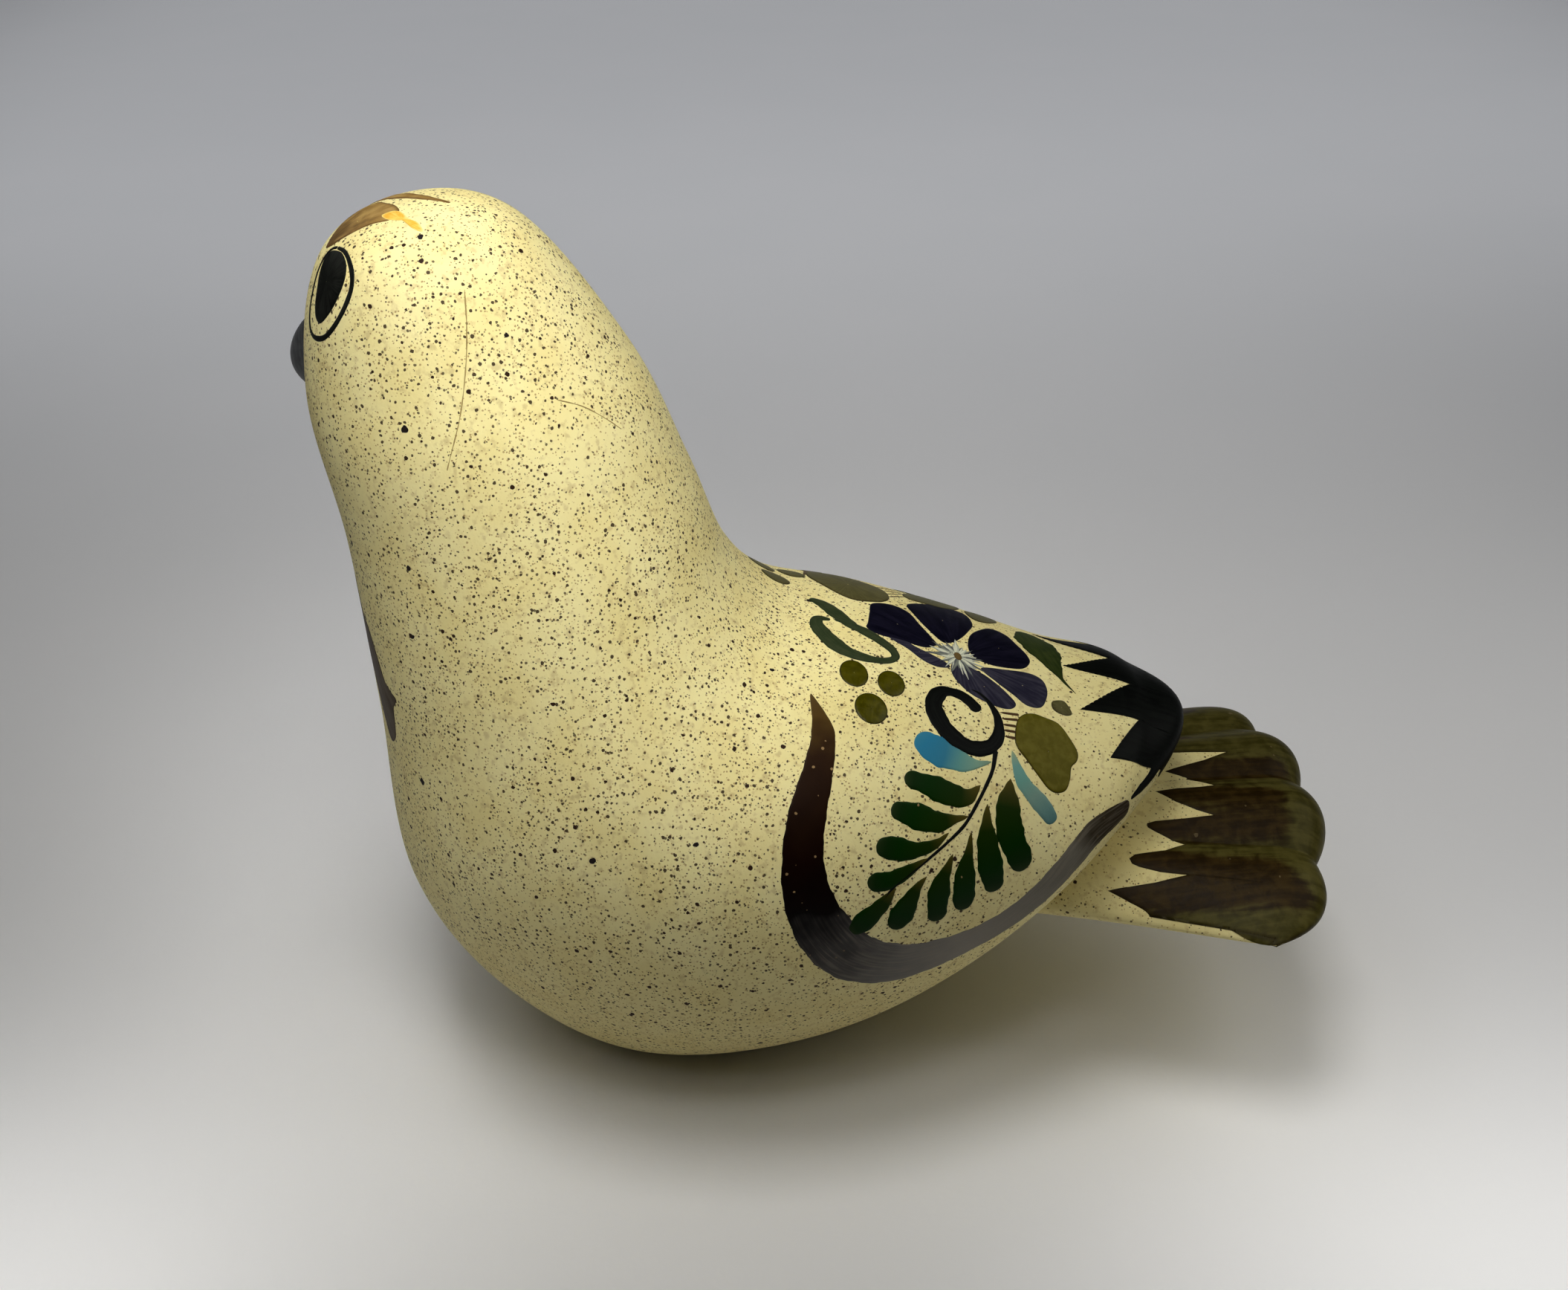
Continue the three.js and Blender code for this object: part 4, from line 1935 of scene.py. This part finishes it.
@dataclass
class WingPaint:
    """What is painted on a wing.

    Attributes:
        side: The bird's side.
        sweep: The path of the broad stroke along the wing's edge.
        sweep_widths: Its widths.
        sprig: The sprig on the wing.
    """

    side: Side
    sweep: Line = (
        (77.5, 58.8), (79.2, 52.7), (78.1, 46.6), (76.3, 40.4), (75.3, 34.1), (75.7, 27.5),
        (78.2, 21.2), (83.0, 16.0), (89.6, 14.1), (96.3, 15.0), (102.8, 17.1), (109.0, 20.1),
        (114.5, 24.1), (119.3, 29.0), (124.0, 34.0), (130.4, 37.6),
    )
    sweep_widths: Widths = (
        0.3, 3.7, 4.8, 6.0, 6.6, 7.9, 9.4, 9.9, 9.8, 8.1, 6.5, 5.8, 5.8, 5.2, 4.9, 3.6,
    )
    sprig: Sprig = field(default_factory=Sprig)

    def build(self, ground: Ground) -> None:
        """Paints the wing.

        Args:
            ground: The body's clay.
        """
        name, sprig = self.side.name.lower(), self.sprig
        sweep = GlazeLayer(f"{name}_wing_sweep", ground, FROM_LEFT)
        sweep.paint(WING, Stroke(self.sweep, self.sweep_widths, lift=0.09, wobble=0.02))
        fern = GlazeLayer(f"{name}_fern", ground, FROM_LEFT)
        for path, widths in sprig.leaves:
            fern.paint(FERN, Stroke(path, widths, lift=0.12, wobble=0.05))
        fern.paint(BLACK, Stroke(sprig.stem, sprig.stem_widths, lift=0.15))
        blue = GlazeLayer(f"{name}_blue_leaves", ground, FROM_LEFT)
        for finish, (path, widths) in zip((BLUE, BLUE_GREY), sprig.blue):
            blue.paint(finish, Stroke(path, widths, lift=0.1, wobble=0.04))
        scroll = GlazeLayer(f"{name}_scroll", ground, FROM_LEFT)
        curl = Stroke(sprig.scroll, sprig.scroll_widths, End.ROUND, End.POINTED, lift=0.14)
        scroll.paint(BLACK, curl)
        for pair in sprig.hairs:
            scroll.paint(HAIR_BROWN, Stroke(pair, (0.5, 0.65), lift=0.05, wobble=0.0))
        for layer in (sweep, fern, blue, scroll):
            layer.piece(self.side)


@dataclass
class LeftBack:
    """The pools of olive glaze on the left of the back."""

    pool: Line = (
        (111.7, 52.6), (112.9, 53.6), (114.7, 53.7), (116.6, 53.0), (119.0, 51.8), (120.6, 49.4),
        (121.6, 47.1), (121.3, 45.7), (120.2, 44.7), (119.7, 42.7), (118.8, 41.1), (117.2, 40.8),
        (115.8, 41.6), (114.3, 43.7), (112.6, 46.3), (111.1, 48.6), (111.0, 50.4),
    )
    dots: tuple[tuple[Point, float, float], ...] = (
        ((84.8, 61.6), 2.4, 2.2),
        ((90.9, 59.7), 2.3, 2.1),
        ((87.2, 55.9), 2.7, 2.5),
    )
    seed: Line = (
        (118.4, 55.3), (119.2, 55.6), (120.7, 55.4), (121.5, 54.2), (121.7, 53.2), (120.7, 53.0),
        (119.3, 53.5), (118.4, 54.3),
    )

    def build(self, ground: Ground) -> None:
        """Pours the pools.

        Args:
            ground: The body's clay.
        """
        layer = GlazeLayer("left_olive_pools", ground, FROM_LEFT)
        layer.paint(OLIVE, Pool(self.pool, lift=0.18))
        for middle, wide, high in self.dots:
            dot = ring(middle, wide, high, lean=0.2)
            layer.paint(WET_OLIVE, Pool(dot, lift=0.19, roundness=1.2))
        layer.paint(BROWN_OLIVE, Pool(self.seed, lift=0.12))
        layer.piece()


@dataclass
class RightBack:
    """The marks on the right of the back, of which the photo shows the nearer edge."""

    dots: tuple[tuple[Point, float], ...] = (
        ((-17.0, 70.0), 2.4),
        ((-12.0, 72.5), 2.5),
        ((-19.5, 75.2), 2.6),
    )
    pool: Line = (
        (-25.0, 78.4), (-25.5, 82.5), (-23.0, 87.0), (-18.5, 91.5), (-13.5, 92.6), (-10.0, 91.0),
        (-8.6, 87.0), (-10.0, 84.1), (-14.1, 81.0), (-19.5, 78.2),
    )
    petal: Line = (
        (-16.0, 96.3), (-15.6, 98.8), (-15.4, 102.0), (-17.0, 104.6), (-21.0, 106.0), (-24.0, 105.0),
        (-25.0, 100.5), (-22.0, 96.5), (-18.6, 95.3),
    )
    seed: Line = (
        (-19.5, 106.8), (-21.0, 109.5), (-19.5, 112.2), (-16.5, 112.4), (-13.6, 110.6), (-12.8, 108.4),
        (-14.8, 107.0),
    )
    hairs: tuple[Line, ...] = (
        ((-14.0, 92.4), (-17.2, 95.6)),
        ((-16.0, 92.4), (-18.8, 95.4)),
        ((-18.0, 91.8), (-20.4, 95.4)),
        ((-20.0, 90.6), (-22.4, 95.6)),
    )

    def build(self, ground: Ground) -> None:
        """Pours the pools.

        Args:
            ground: The body's clay.
        """
        layer = GlazeLayer("right_olive_pools", ground, FROM_ABOVE)
        for middle, radius in self.dots:
            dot = ring(middle, radius, radius)
            layer.paint(BROWN_OLIVE, Pool(dot, lift=0.16, roundness=1.0))
        layer.paint(BROWN_OLIVE, Pool(self.pool, lift=0.15))
        layer.paint(BROWN_OLIVE, Pool(self.petal, lift=0.12), Pool(self.seed, lift=0.12))
        for pair in self.hairs:
            layer.paint(HAIR_BROWN, Stroke(pair, (0.5, 0.4), lift=0.05, wobble=0.0))
        layer.piece()


@dataclass
class Flower:
    """The six-petalled flower on the back, with the loop and the leaf beside it."""

    middle: Point = (4.6, 103.0)
    deep_petals: tuple[Line, ...] = (
        ((-0.4, 88.0), (-4.3, 88.5), (-8.3, 89.2), (-9.7, 92.6), (-7.9, 95.5), (-3.4, 97.3),
         (0.2, 98.9), (2.4, 99.6), (4.2, 97.4), (3.7, 93.4), (3.3, 89.7), (1.6, 87.7)),
        ((-11.8, 95.6), (-15.2, 98.9), (-17.0, 102.4), (-15.8, 106.2), (-9.9, 107.2), (-5.0, 105.7),
         (-1.4, 103.9), (0.6, 102.2), (0.9, 100.6), (-2.8, 98.3), (-7.3, 96.5)),
        ((-3.9, 106.0), (-7.3, 107.8), (-10.2, 110.4), (-9.0, 113.0), (-5.4, 114.6), (-2.3, 115.9),
         (0.3, 116.1), (3.0, 114.6), (4.2, 111.8), (4.6, 108.6), (3.6, 106.0), (0.6, 105.2)),
    )
    thin_petals: tuple[Line, ...] = (
        ((6.3, 106.8), (4.9, 111.0), (4.0, 115.2), (4.8, 117.4), (6.9, 118.1), (9.5, 117.8),
         (12.4, 116.4), (12.9, 113.9), (11.3, 111.8), (9.0, 109.0)),
        ((7.0, 101.8), (6.6, 104.0), (7.7, 106.8), (9.4, 109.0), (11.2, 110.7), (13.2, 112.0),
         (14.7, 111.0), (15.1, 108.8), (14.5, 106.0), (13.1, 103.5), (10.2, 101.6)),
        ((3.0, 91.0), (3.0, 93.6), (4.5, 95.7), (5.7, 98.2), (7.0, 100.5), (8.2, 101.4), (9.0, 99.2),
         (8.1, 96.7), (5.8, 94.3), (4.3, 92.2)),
    )
    loop: Line = (
        (0.4, 81.6), (0.6, 79.6), (2.8, 79.2), (6.2, 80.8), (9.2, 83.4), (10.6, 86.8), (10.6, 90.0),
        (9.2, 92.0), (7.1, 91.6), (4.8, 89.4), (2.3, 86.4), (0.6, 83.8), (0.1, 82.2),
    )
    loop_widths: Widths = (0.8, 2.4, 3.2, 3.6, 3.2, 2.4, 1.8, 1.4, 1.9, 2.3, 2.4, 1.8, 0.9)
    loop_leaf: Line = ((4.0, 87.6), (1.5, 85.2), (-1.6, 82.9), (-4.9, 80.6), (-6.6, 78.2))
    star_rays: int = 13
    rays: int = 30
    leaf: Line = (
        (7.0, 123.3), (3.6, 121.4), (0.0, 120.4), (-4.4, 119.4), (-9.0, 118.3), (-14.6, 117.0),
    )

    def build(self, ground: Ground) -> None:
        """Paints the flower and what is beside it.

        Args:
            ground: The body's clay.
        """
        flower = GlazeLayer("flower", ground, FROM_ABOVE)
        for petal in self.deep_petals:
            flower.paint(NAVY, Pool(petal, lift=0.08, root=self.middle))
        for petal in self.thin_petals:
            flower.paint(THIN_NAVY, Pool(petal, lift=0.05, root=self.middle))
        flower.paint(GREY_STAR, Pool(self._star(), lift=0.1, root=self.middle, sharp=True))
        for k, ray in enumerate(self._rays()):
            flower.paint(GREY_STAR if k % 3 == 2 else PALE_STAR, ray)
        flower.paint(SEED_BROWN, Pool(ring(self.middle, 1.3, 0.8, count=8), lift=0.17))
        flower.piece()
        loop = GlazeLayer("loop_scroll", ground, FROM_ABOVE)
        loop.paint(LOOP_GREEN, Stroke(self.loop, self.loop_widths, End.ROUND, lift=0.08))
        loop.paint(LOOP_GREEN, Stroke(self.loop_leaf, (0.6, 2.4, 3.2, 3.2, 1.6), lift=0.07))
        loop.piece()
        leaf = GlazeLayer("back_leaf", ground, FROM_ABOVE)
        leaf.paint(LEAF_GREEN, Stroke(self.leaf, (0.1, 0.9, 4.2, 7.6, 7.8, 2.6), lift=0.07))
        leaf.piece()

    def _star(self) -> Line:
        """Draws the pale rays in the flower's middle.

        Returns:
            The star's outline.
        """
        draw = np.random.default_rng(8)
        x, y = self.middle
        outline = []
        for k in range(self.star_rays * 2):
            turn = math.pi * (k + draw.uniform(-0.3, 0.3)) / self.star_rays
            reach = draw.uniform(2.6, 3.8) if k % 2 == 0 else draw.uniform(1.6, 2.2)
            outline.append((x + reach * math.cos(turn), y + reach * math.sin(turn)))
        return tuple(outline)

    def _rays(self) -> tuple[Stroke, ...]:
        """Draws the fine pale strokes that fan out over the petals.

        Returns:
            The strokes.
        """
        draw = np.random.default_rng(21)
        rays = []
        for k in range(self.rays):
            turn = 2 * math.pi * (k + draw.uniform(-0.35, 0.35)) / self.rays
            ahead = np.array([math.cos(turn), math.sin(turn)]) * draw.uniform(3.4, 6.2)
            aside = np.array([-math.sin(turn), math.cos(turn)]) * draw.uniform(-0.6, 0.6)
            width = draw.uniform(0.8, 1.5)
            spots = [np.array(self.middle) + ahead * t + aside * t * t for t in (0.12, 0.4, 0.7, 1)]
            path = tuple((float(x), float(y)) for x, y in spots)
            rays.append(Stroke(path, (width, width, width * 0.6, 0.12), lift=0.12, wobble=0.15))
        return tuple(rays)


@dataclass
class RumpBand:
    """The black band round the rump, with teeth towards the back.

    Attributes:
        teeth: The band's front edge, seen from above, from the right end to the left.
        edge: Its rear edge, along the rump.
        rows: How many steps of glaze lie between the edges.
        line: The thin line at its left end. The right end has the same one.
        line_widths: The line's widths.
    """

    teeth: Line = (
        (-14.5, 137.1), (-15.1, 136.0), (-17.1, 133.0), (-20.5, 127.2), (-14.6, 131.0), (-15.5, 118.6),
        (-7.5, 131.4), (-1.6, 122.1), (1.5, 133.5), (10.6, 123.3), (10.2, 133.8), (19.5, 127.1),
        (19.1, 129.8), (17.1, 133.0), (15.1, 136.0), (14.5, 137.1),
    )
    edge: tuple[Place, ...] = (
        (-15.6, 137.0, 57.0), (-14.0, 137.6, 55.2), (-12.0, 138.4, 53.4), (-9.0, 139.4, 52.0),
        (-5.0, 140.4, 51.4), (0.0, 140.8, 51.2), (5.0, 140.4, 51.4), (9.0, 139.4, 52.0),
        (12.0, 138.4, 53.4), (14.0, 137.6, 55.2), (15.6, 137.0, 57.0),
    )
    rows: int = 26
    line: Line = ((138.0, 46.1), (136.4, 44.1), (134.6, 42.0), (132.8, 40.5), (130.5, 38.8))
    line_widths: Widths = (2.6, 2.4, 2.2, 1.7, 0.7)

    def build(self, ground: Ground) -> None:
        """Paints the band and the thin lines at its ends.

        Args:
            ground: The body's clay.
        """
        between_teeth = 24
        count = between_teeth * (len(self.teeth) - 1) + 1
        places = np.linspace(0, 1, count)
        front = read_line(places, np.linspace(0, 1, len(self.teeth)), np.array(self.teeth))
        front = ground.drop(FROM_ABOVE, front)
        back = spline(np.array(self.edge), places)
        down = np.linspace(0, 1, self.rows)[:, None, None]
        flat = self._unroll(ground, front) * (1 - down) + self._unroll(ground, back) * down
        off, turn = np.hypot(flat[..., 0], flat[..., 1]), np.arctan2(flat[..., 1], flat[..., 0])
        spots = ground.form.outside(1 - off, turn % (2 * np.pi))
        spots, out = ground.settle(spots.reshape(-1, 3))
        rows = spots.reshape(self.rows, count, 3)
        reach = np.linalg.norm(rows - front[None], axis=-1).ravel()
        to_back = np.linalg.norm(rows - rows[-1][None], axis=-1)
        rim = np.minimum(self._to_teeth(spots, front), to_back.ravel())
        grain = np.stack([reach, np.tile(places * 60, self.rows), reach / 20], -1)
        points = spots + out * bead(rim, 0.1, 0.3)[:, None]
        sheet = Patch(points, grid_faces(self.rows, count), grain, rim)
        line = Stroke(self.line, self.line_widths).patch(ground, FROM_LEFT)
        band = GlazeLayer("rump_band", ground, FROM_LEFT)
        for patch in (sheet, line, line.mirrored()):
            band.add(patch, BLACK)
        band.piece()

    @staticmethod
    def _unroll(ground: Ground, points: Array) -> Array:
        """Lays points on a flat chart round the rump, on which the band's rows run straight.

        Args:
            ground: The body's clay.
            points: The points.

        Returns:
            Their places on that chart.
        """
        station, angle, _ = ground.locate(points)
        return np.stack([(1 - station) * np.cos(angle), (1 - station) * np.sin(angle)], -1)

    @staticmethod
    def _to_teeth(spots: Array, front: Array) -> Array:
        """Measures how far spots are from the toothed edge.

        Args:
            spots: The spots, one a row.
            front: The toothed edge.

        Returns:
            The distances.
        """
        nearest = np.full(len(spots), np.inf)
        for point in front[::2]:
            nearest = np.minimum(nearest, np.linalg.norm(spots - point, axis=1))
        return nearest


@dataclass
class TailPaint:
    """The glaze of the tail: brown petals that melt into olive towards its end.

    Attributes:
        front_edge: The glaze's front edge on top, seen from above, from right to left.
        petals: The line along which each petal is darkest, and how wide it is dark.
        edge: The angle on the fan beyond which the glaze is held off the side edges.
        held: The share of the way from there to the side edges that it covers.
        wrap: How far the glaze goes round the side edges at the end, as an angle.
    """

    front_edge: Line = (
        (-36.4, 150.2), (-34.5, 143.7), (-32.3, 137.2), (-30.0, 132.4), (-27.7, 129.2), (-25.1, 126.3),
        (-24.3, 129.8), (-24.2, 135.0), (-23.6, 141.3), (-22.4, 135.8), (-21.2, 132.4), (-19.6, 131.0),
        (-18.6, 133.4), (-17.6, 137.9), (-16.4, 143.6), (-14.8, 142.0), (-13.0, 139.5), (-10.8, 138.2),
        (-8.4, 138.6), (-6.6, 140.6), (-6.0, 143.6), (-5.9, 148.2), (-5.6, 153.7), (-3.9, 149.4),
        (-3.0, 146.1), (-2.2, 143.3), (-1.6, 141.6), (-0.3, 145.3), (4.3, 149.2), (4.9, 145.9),
        (5.1, 142.1), (5.9, 138.2), (9.0, 141.3), (11.0, 144.6), (12.2, 147.3), (12.4, 142.5),
        (12.5, 137.0), (12.8, 135.5), (13.5, 135.5), (14.3, 136.7), (15.7, 139.1), (17.2, 141.3),
        (18.8, 137.7), (19.4, 132.2), (20.1, 131.1), (21.1, 131.4), (21.8, 132.5), (23.1, 135.8),
        (24.1, 141.3), (24.7, 134.9), (24.7, 129.6), (25.1, 126.3), (27.7, 129.2), (30.0, 132.4),
        (32.3, 137.2), (34.5, 143.7), (35.8, 149.8), (36.5, 150.2),
    )
    petals: tuple[tuple[Point, Point, float], ...] = (
        ((-1.6, 141.6), (-1.2, 161.5), 4.0),
        ((5.9, 138.2), (8.8, 158.0), 3.8),
        ((13.1, 135.5), (14.7, 157.6), 3.8),
        ((20.6, 131.1), (25.0, 155.2), 3.8),
        ((25.6, 126.3), (29.3, 158.0), 3.4),
        ((-12.0, 138.2), (-12.6, 148.0), 1.6),
        ((-19.6, 131.1), (-22.0, 146.0), 2.6),
        ((-25.6, 126.3), (-28.3, 152.0), 2.6),
    )
    edge: float = 1.1
    held: float = 0.62
    wrap: float = math.pi / 2 + 0.45

    def build(self, ground: Ground) -> None:
        """Glazes the tail.

        Args:
            ground: The tail's clay.
        """
        layer = GlazeLayer("tail_glaze_sheet", ground, FROM_ABOVE)
        layer.add(self._sheet(ground), TAIL_GLAZE)
        weld(layer.piece())

    def _sheet(self, ground: Ground) -> Patch:
        """Lays the glaze from its front edge round the tail's end.

        Args:
            ground: The tail's clay.

        Returns:
            The glaze.
        """
        marks = np.array(self.front_edge)
        run = run_along(marks)
        places = np.unique(np.concatenate([np.linspace(0, run[-1], 420), run]))
        count = len(places)
        start, angle = ground.form.place(*read_line(places, run, marks).T)
        rows, under, tip = 60, 14, 0.999
        down = np.linspace(0, 1, rows)[:, None]
        over = start[None] + (tip - start[None]) * down**0.9
        settled = smoothstep(down, 0.1, 1)
        fan = np.linspace(-np.pi / 2, np.pi / 2, count)
        turned = angle[None] * (1 - settled) + fan[None] * settled
        most = (self.wrap - self.edge) / (np.pi / 2 - self.edge)
        spill = self.held + (most - self.held) * smoothstep(down, 0.3, 0.9)
        outer = np.maximum(np.abs(turned) - self.edge, 0) * spill
        turned = np.sign(turned) * (np.minimum(np.abs(turned), self.edge) + outer)
        fan = turned[-1]
        tucked = 0.1 * np.clip(3 * np.cos(fan), 0, 1)
        below = tip - np.linspace(0, 1, under)[1:, None] * tucked[None]
        mirrored = np.where(np.cos(fan) > 0, np.pi - fan, fan)
        along = np.vstack([over, below])
        turned = np.vstack([turned, np.tile(mirrored, (under - 1, 1))])
        clay, out = ground.settle(ground.form.outside(along, turned).reshape(-1, 3))
        grid = clay.reshape(len(along), count, 3)
        edges = np.vstack([grid[0], grid[-1], grid[:rows, 0], grid[:rows, -1]])
        rim = np.array([np.linalg.norm(edges - point, axis=1).min() for point in clay])
        points = clay + out * bead(rim, 0.09, 0.3)[:, None]
        grain = np.stack([clay[:, 1], clay[:, 0], self._tone(clay)], -1)
        return Patch(points, grid_faces(len(along), count), grain, rim)

    def _tone(self, clay: Array) -> Array:
        """Finds how far the petals' brown has given way to olive.

        Args:
            clay: Places on the tail.

        Returns:
            From 0, brown, to 1, olive.
        """
        olive = np.ones(len(clay))
        for start, end, wide in self.petals:
            line = np.array(end) - start
            off = clay[:, :2] - start
            share = np.clip(off @ line / (line @ line), 0, 1)
            far = np.linalg.norm(off - share[:, None] * line, axis=1)
            olive *= 1 - np.exp(-((far / wide) ** 2))
        return olive


@dataclass(frozen=True)
class Lamp:
    """A square soft lamp over the bird.

    Attributes:
        name: Its name.
        place: Where it hangs, in the maker's axes.
        size: Its width.
        power: Its power in watts.
        aim: What it shines at.
        spread: How widely it shines, in degrees.
        colour: Its colour.
    """

    name: str
    place: Place
    size: float
    power: float
    aim: Place = (0.0, 70.0, 60.0)
    spread: float = 180.0
    colour: Colour = (1.0, 0.985, 0.95)

    def hang(self) -> None:
        """Hangs the lamp, out of the camera's sight."""
        light = bpy.data.lights.new(self.name, "AREA")
        light.size = self.size * MM
        light.energy = self.power
        light.color = self.colour
        light.spread = math.radians(self.spread)
        made = bpy.data.objects.new(self.name, light)
        made.visible_camera = False
        made.location = to_frame(self.place)
        away = to_frame(self.aim) - to_frame(self.place)
        made.rotation_euler = away.to_track_quat("-Z", "Y").to_euler()
        bpy.context.scene.collection.objects.link(made)


@dataclass
class Studio:
    """The plain pale floor, the soft light and the camera.

    Attributes:
        lamps: The lamps, which hang close over the bird as in a small light tent.
        floor_reach: How far the floor reaches from the bird.
        sky: The colour of the light from all round.
        sky_strength: How strong that light is.
        gamma: How the view brightens its middle tones.
        eye: The camera's place, in the maker's axes.
        pitch: How far it looks down, in degrees.
        roll: How far it is rolled, in degrees.
        focal: Its focal length, in pixels of the photo.
        sensor: The width of its sensor.
    """

    lamps: tuple[Lamp, ...] = (
        Lamp("near_lamp", (60.0, 10.0, 250.0), 100.0, 0.035),
        Lamp("high_lamp", (60.0, 40.0, 600.0), 200.0, 0.92, (60.0, 41.0, 0.0)),
        Lamp("head_lamp", (120.0, 60.0, 300.0), 100.0, 0.019, (15.0, 40.0, 120.0), 40.0),
        Lamp("neck_lamp", (150.0, 20.0, 220.0), 60.0, 0.0115, (25.0, 33.0, 118.0), 60.0),
        Lamp("breast_lamp", (-120.0, -90.0, 320.0), 250.0, 0.14),
        Lamp("side_lamp", (0.0, 330.0, 260.0), 250.0, 0.27),
        Lamp("front_floor_lamp", (85.0, -70.0, 100.0), 100.0, 0.021, (85.0, -69.0, 0.0), 100.0),
        Lamp("rear_floor_lamp", (85.0, 190.0, 100.0), 100.0, 0.019, (85.0, 191.0, 0.0), 100.0),
        Lamp(
            "far_lamp", (-1000.0, 70.0, 500.0), 1400.0, 2.7, (-1000.0, 71.0, 0.0), 80.0,
            colour=(0.97, 0.98, 1.0),
        ),
    )
    floor_reach: float = 1800.0
    sky: Shade = (232, 236, 244)
    sky_strength: float = 0.02
    gamma: float = 0.82
    eye: Place = (260.76, 73.45, 228.5)
    pitch: float = 30.2
    roll: float = 2.0
    focal: float = 2355.0
    sensor: float = 36.0

    def build(self) -> None:
        """Sets up the floor, the lights, the world and the camera."""
        self._floor()
        for lamp in self.lamps:
            lamp.hang()
        world = bpy.data.worlds.new("studio")
        world.use_nodes = True
        sky = world.node_tree.nodes["Background"]
        sky.inputs["Color"].default_value = (*linear(self.sky), 1)
        sky.inputs["Strength"].default_value = self.sky_strength
        bpy.context.scene.world = world
        self._camera()
        bpy.context.scene.view_settings.view_transform = "Standard"
        bpy.context.scene.view_settings.gamma = self.gamma

    def _floor(self) -> None:
        """Lays the floor."""
        corners = ((-1, -1), (1, -1), (1, 1), (-1, 1))
        points = np.array([(x, y, 0) for x, y in corners]) * self.floor_reach
        made = new_object("floor", points, [[0, 1, 2, 3]])
        made.data.materials.append(PaleFloor().material())

    def _camera(self) -> None:
        """Places the camera."""
        lens = bpy.data.cameras.new("camera")
        lens.sensor_width = self.sensor
        lens.sensor_fit = "HORIZONTAL"
        lens.lens = self.focal / PHOTO_WIDTH * self.sensor
        lens.clip_start = 0.01
        lens.clip_end = 20.0
        made = bpy.data.objects.new("camera", lens)
        pitch, roll = math.radians(self.pitch), math.radians(self.roll)
        ahead = Vector((-math.cos(pitch), 0, -math.sin(pitch)))
        level = Vector((0, 1, 0))
        upright = level.cross(ahead)
        right = level * math.cos(roll) - upright * math.sin(roll)
        up = level * math.sin(roll) + upright * math.cos(roll)
        turn = Matrix((right, up, -ahead)).transposed().to_4x4()
        made.matrix_world = Matrix.Translation(to_frame(self.eye)) @ turn
        bpy.context.scene.collection.objects.link(made)
        bpy.context.scene.camera = made


def main() -> None:
    """Builds the dove, its glazes and the studio, in order."""
    logging.basicConfig(level=logging.INFO, format="%(name)s: %(message)s")
    body = ClayBody()
    clay = body.build()
    tail = TailFan().build()
    Beak().build(body.form)
    Face().build(clay)
    BreastMark().build(clay)
    WingPaint(Side.LEFT).build(clay)
    WingPaint(Side.RIGHT, sprig=Sprig().shrunk(0.74, foot=(86.0, 22.0))).build(clay)
    LeftBack().build(clay)
    RightBack().build(clay)
    Flower().build(clay)
    RumpBand().build(clay)
    TailPaint().build(tail)
    Studio().build()


if __name__ == "__main__":
    main()
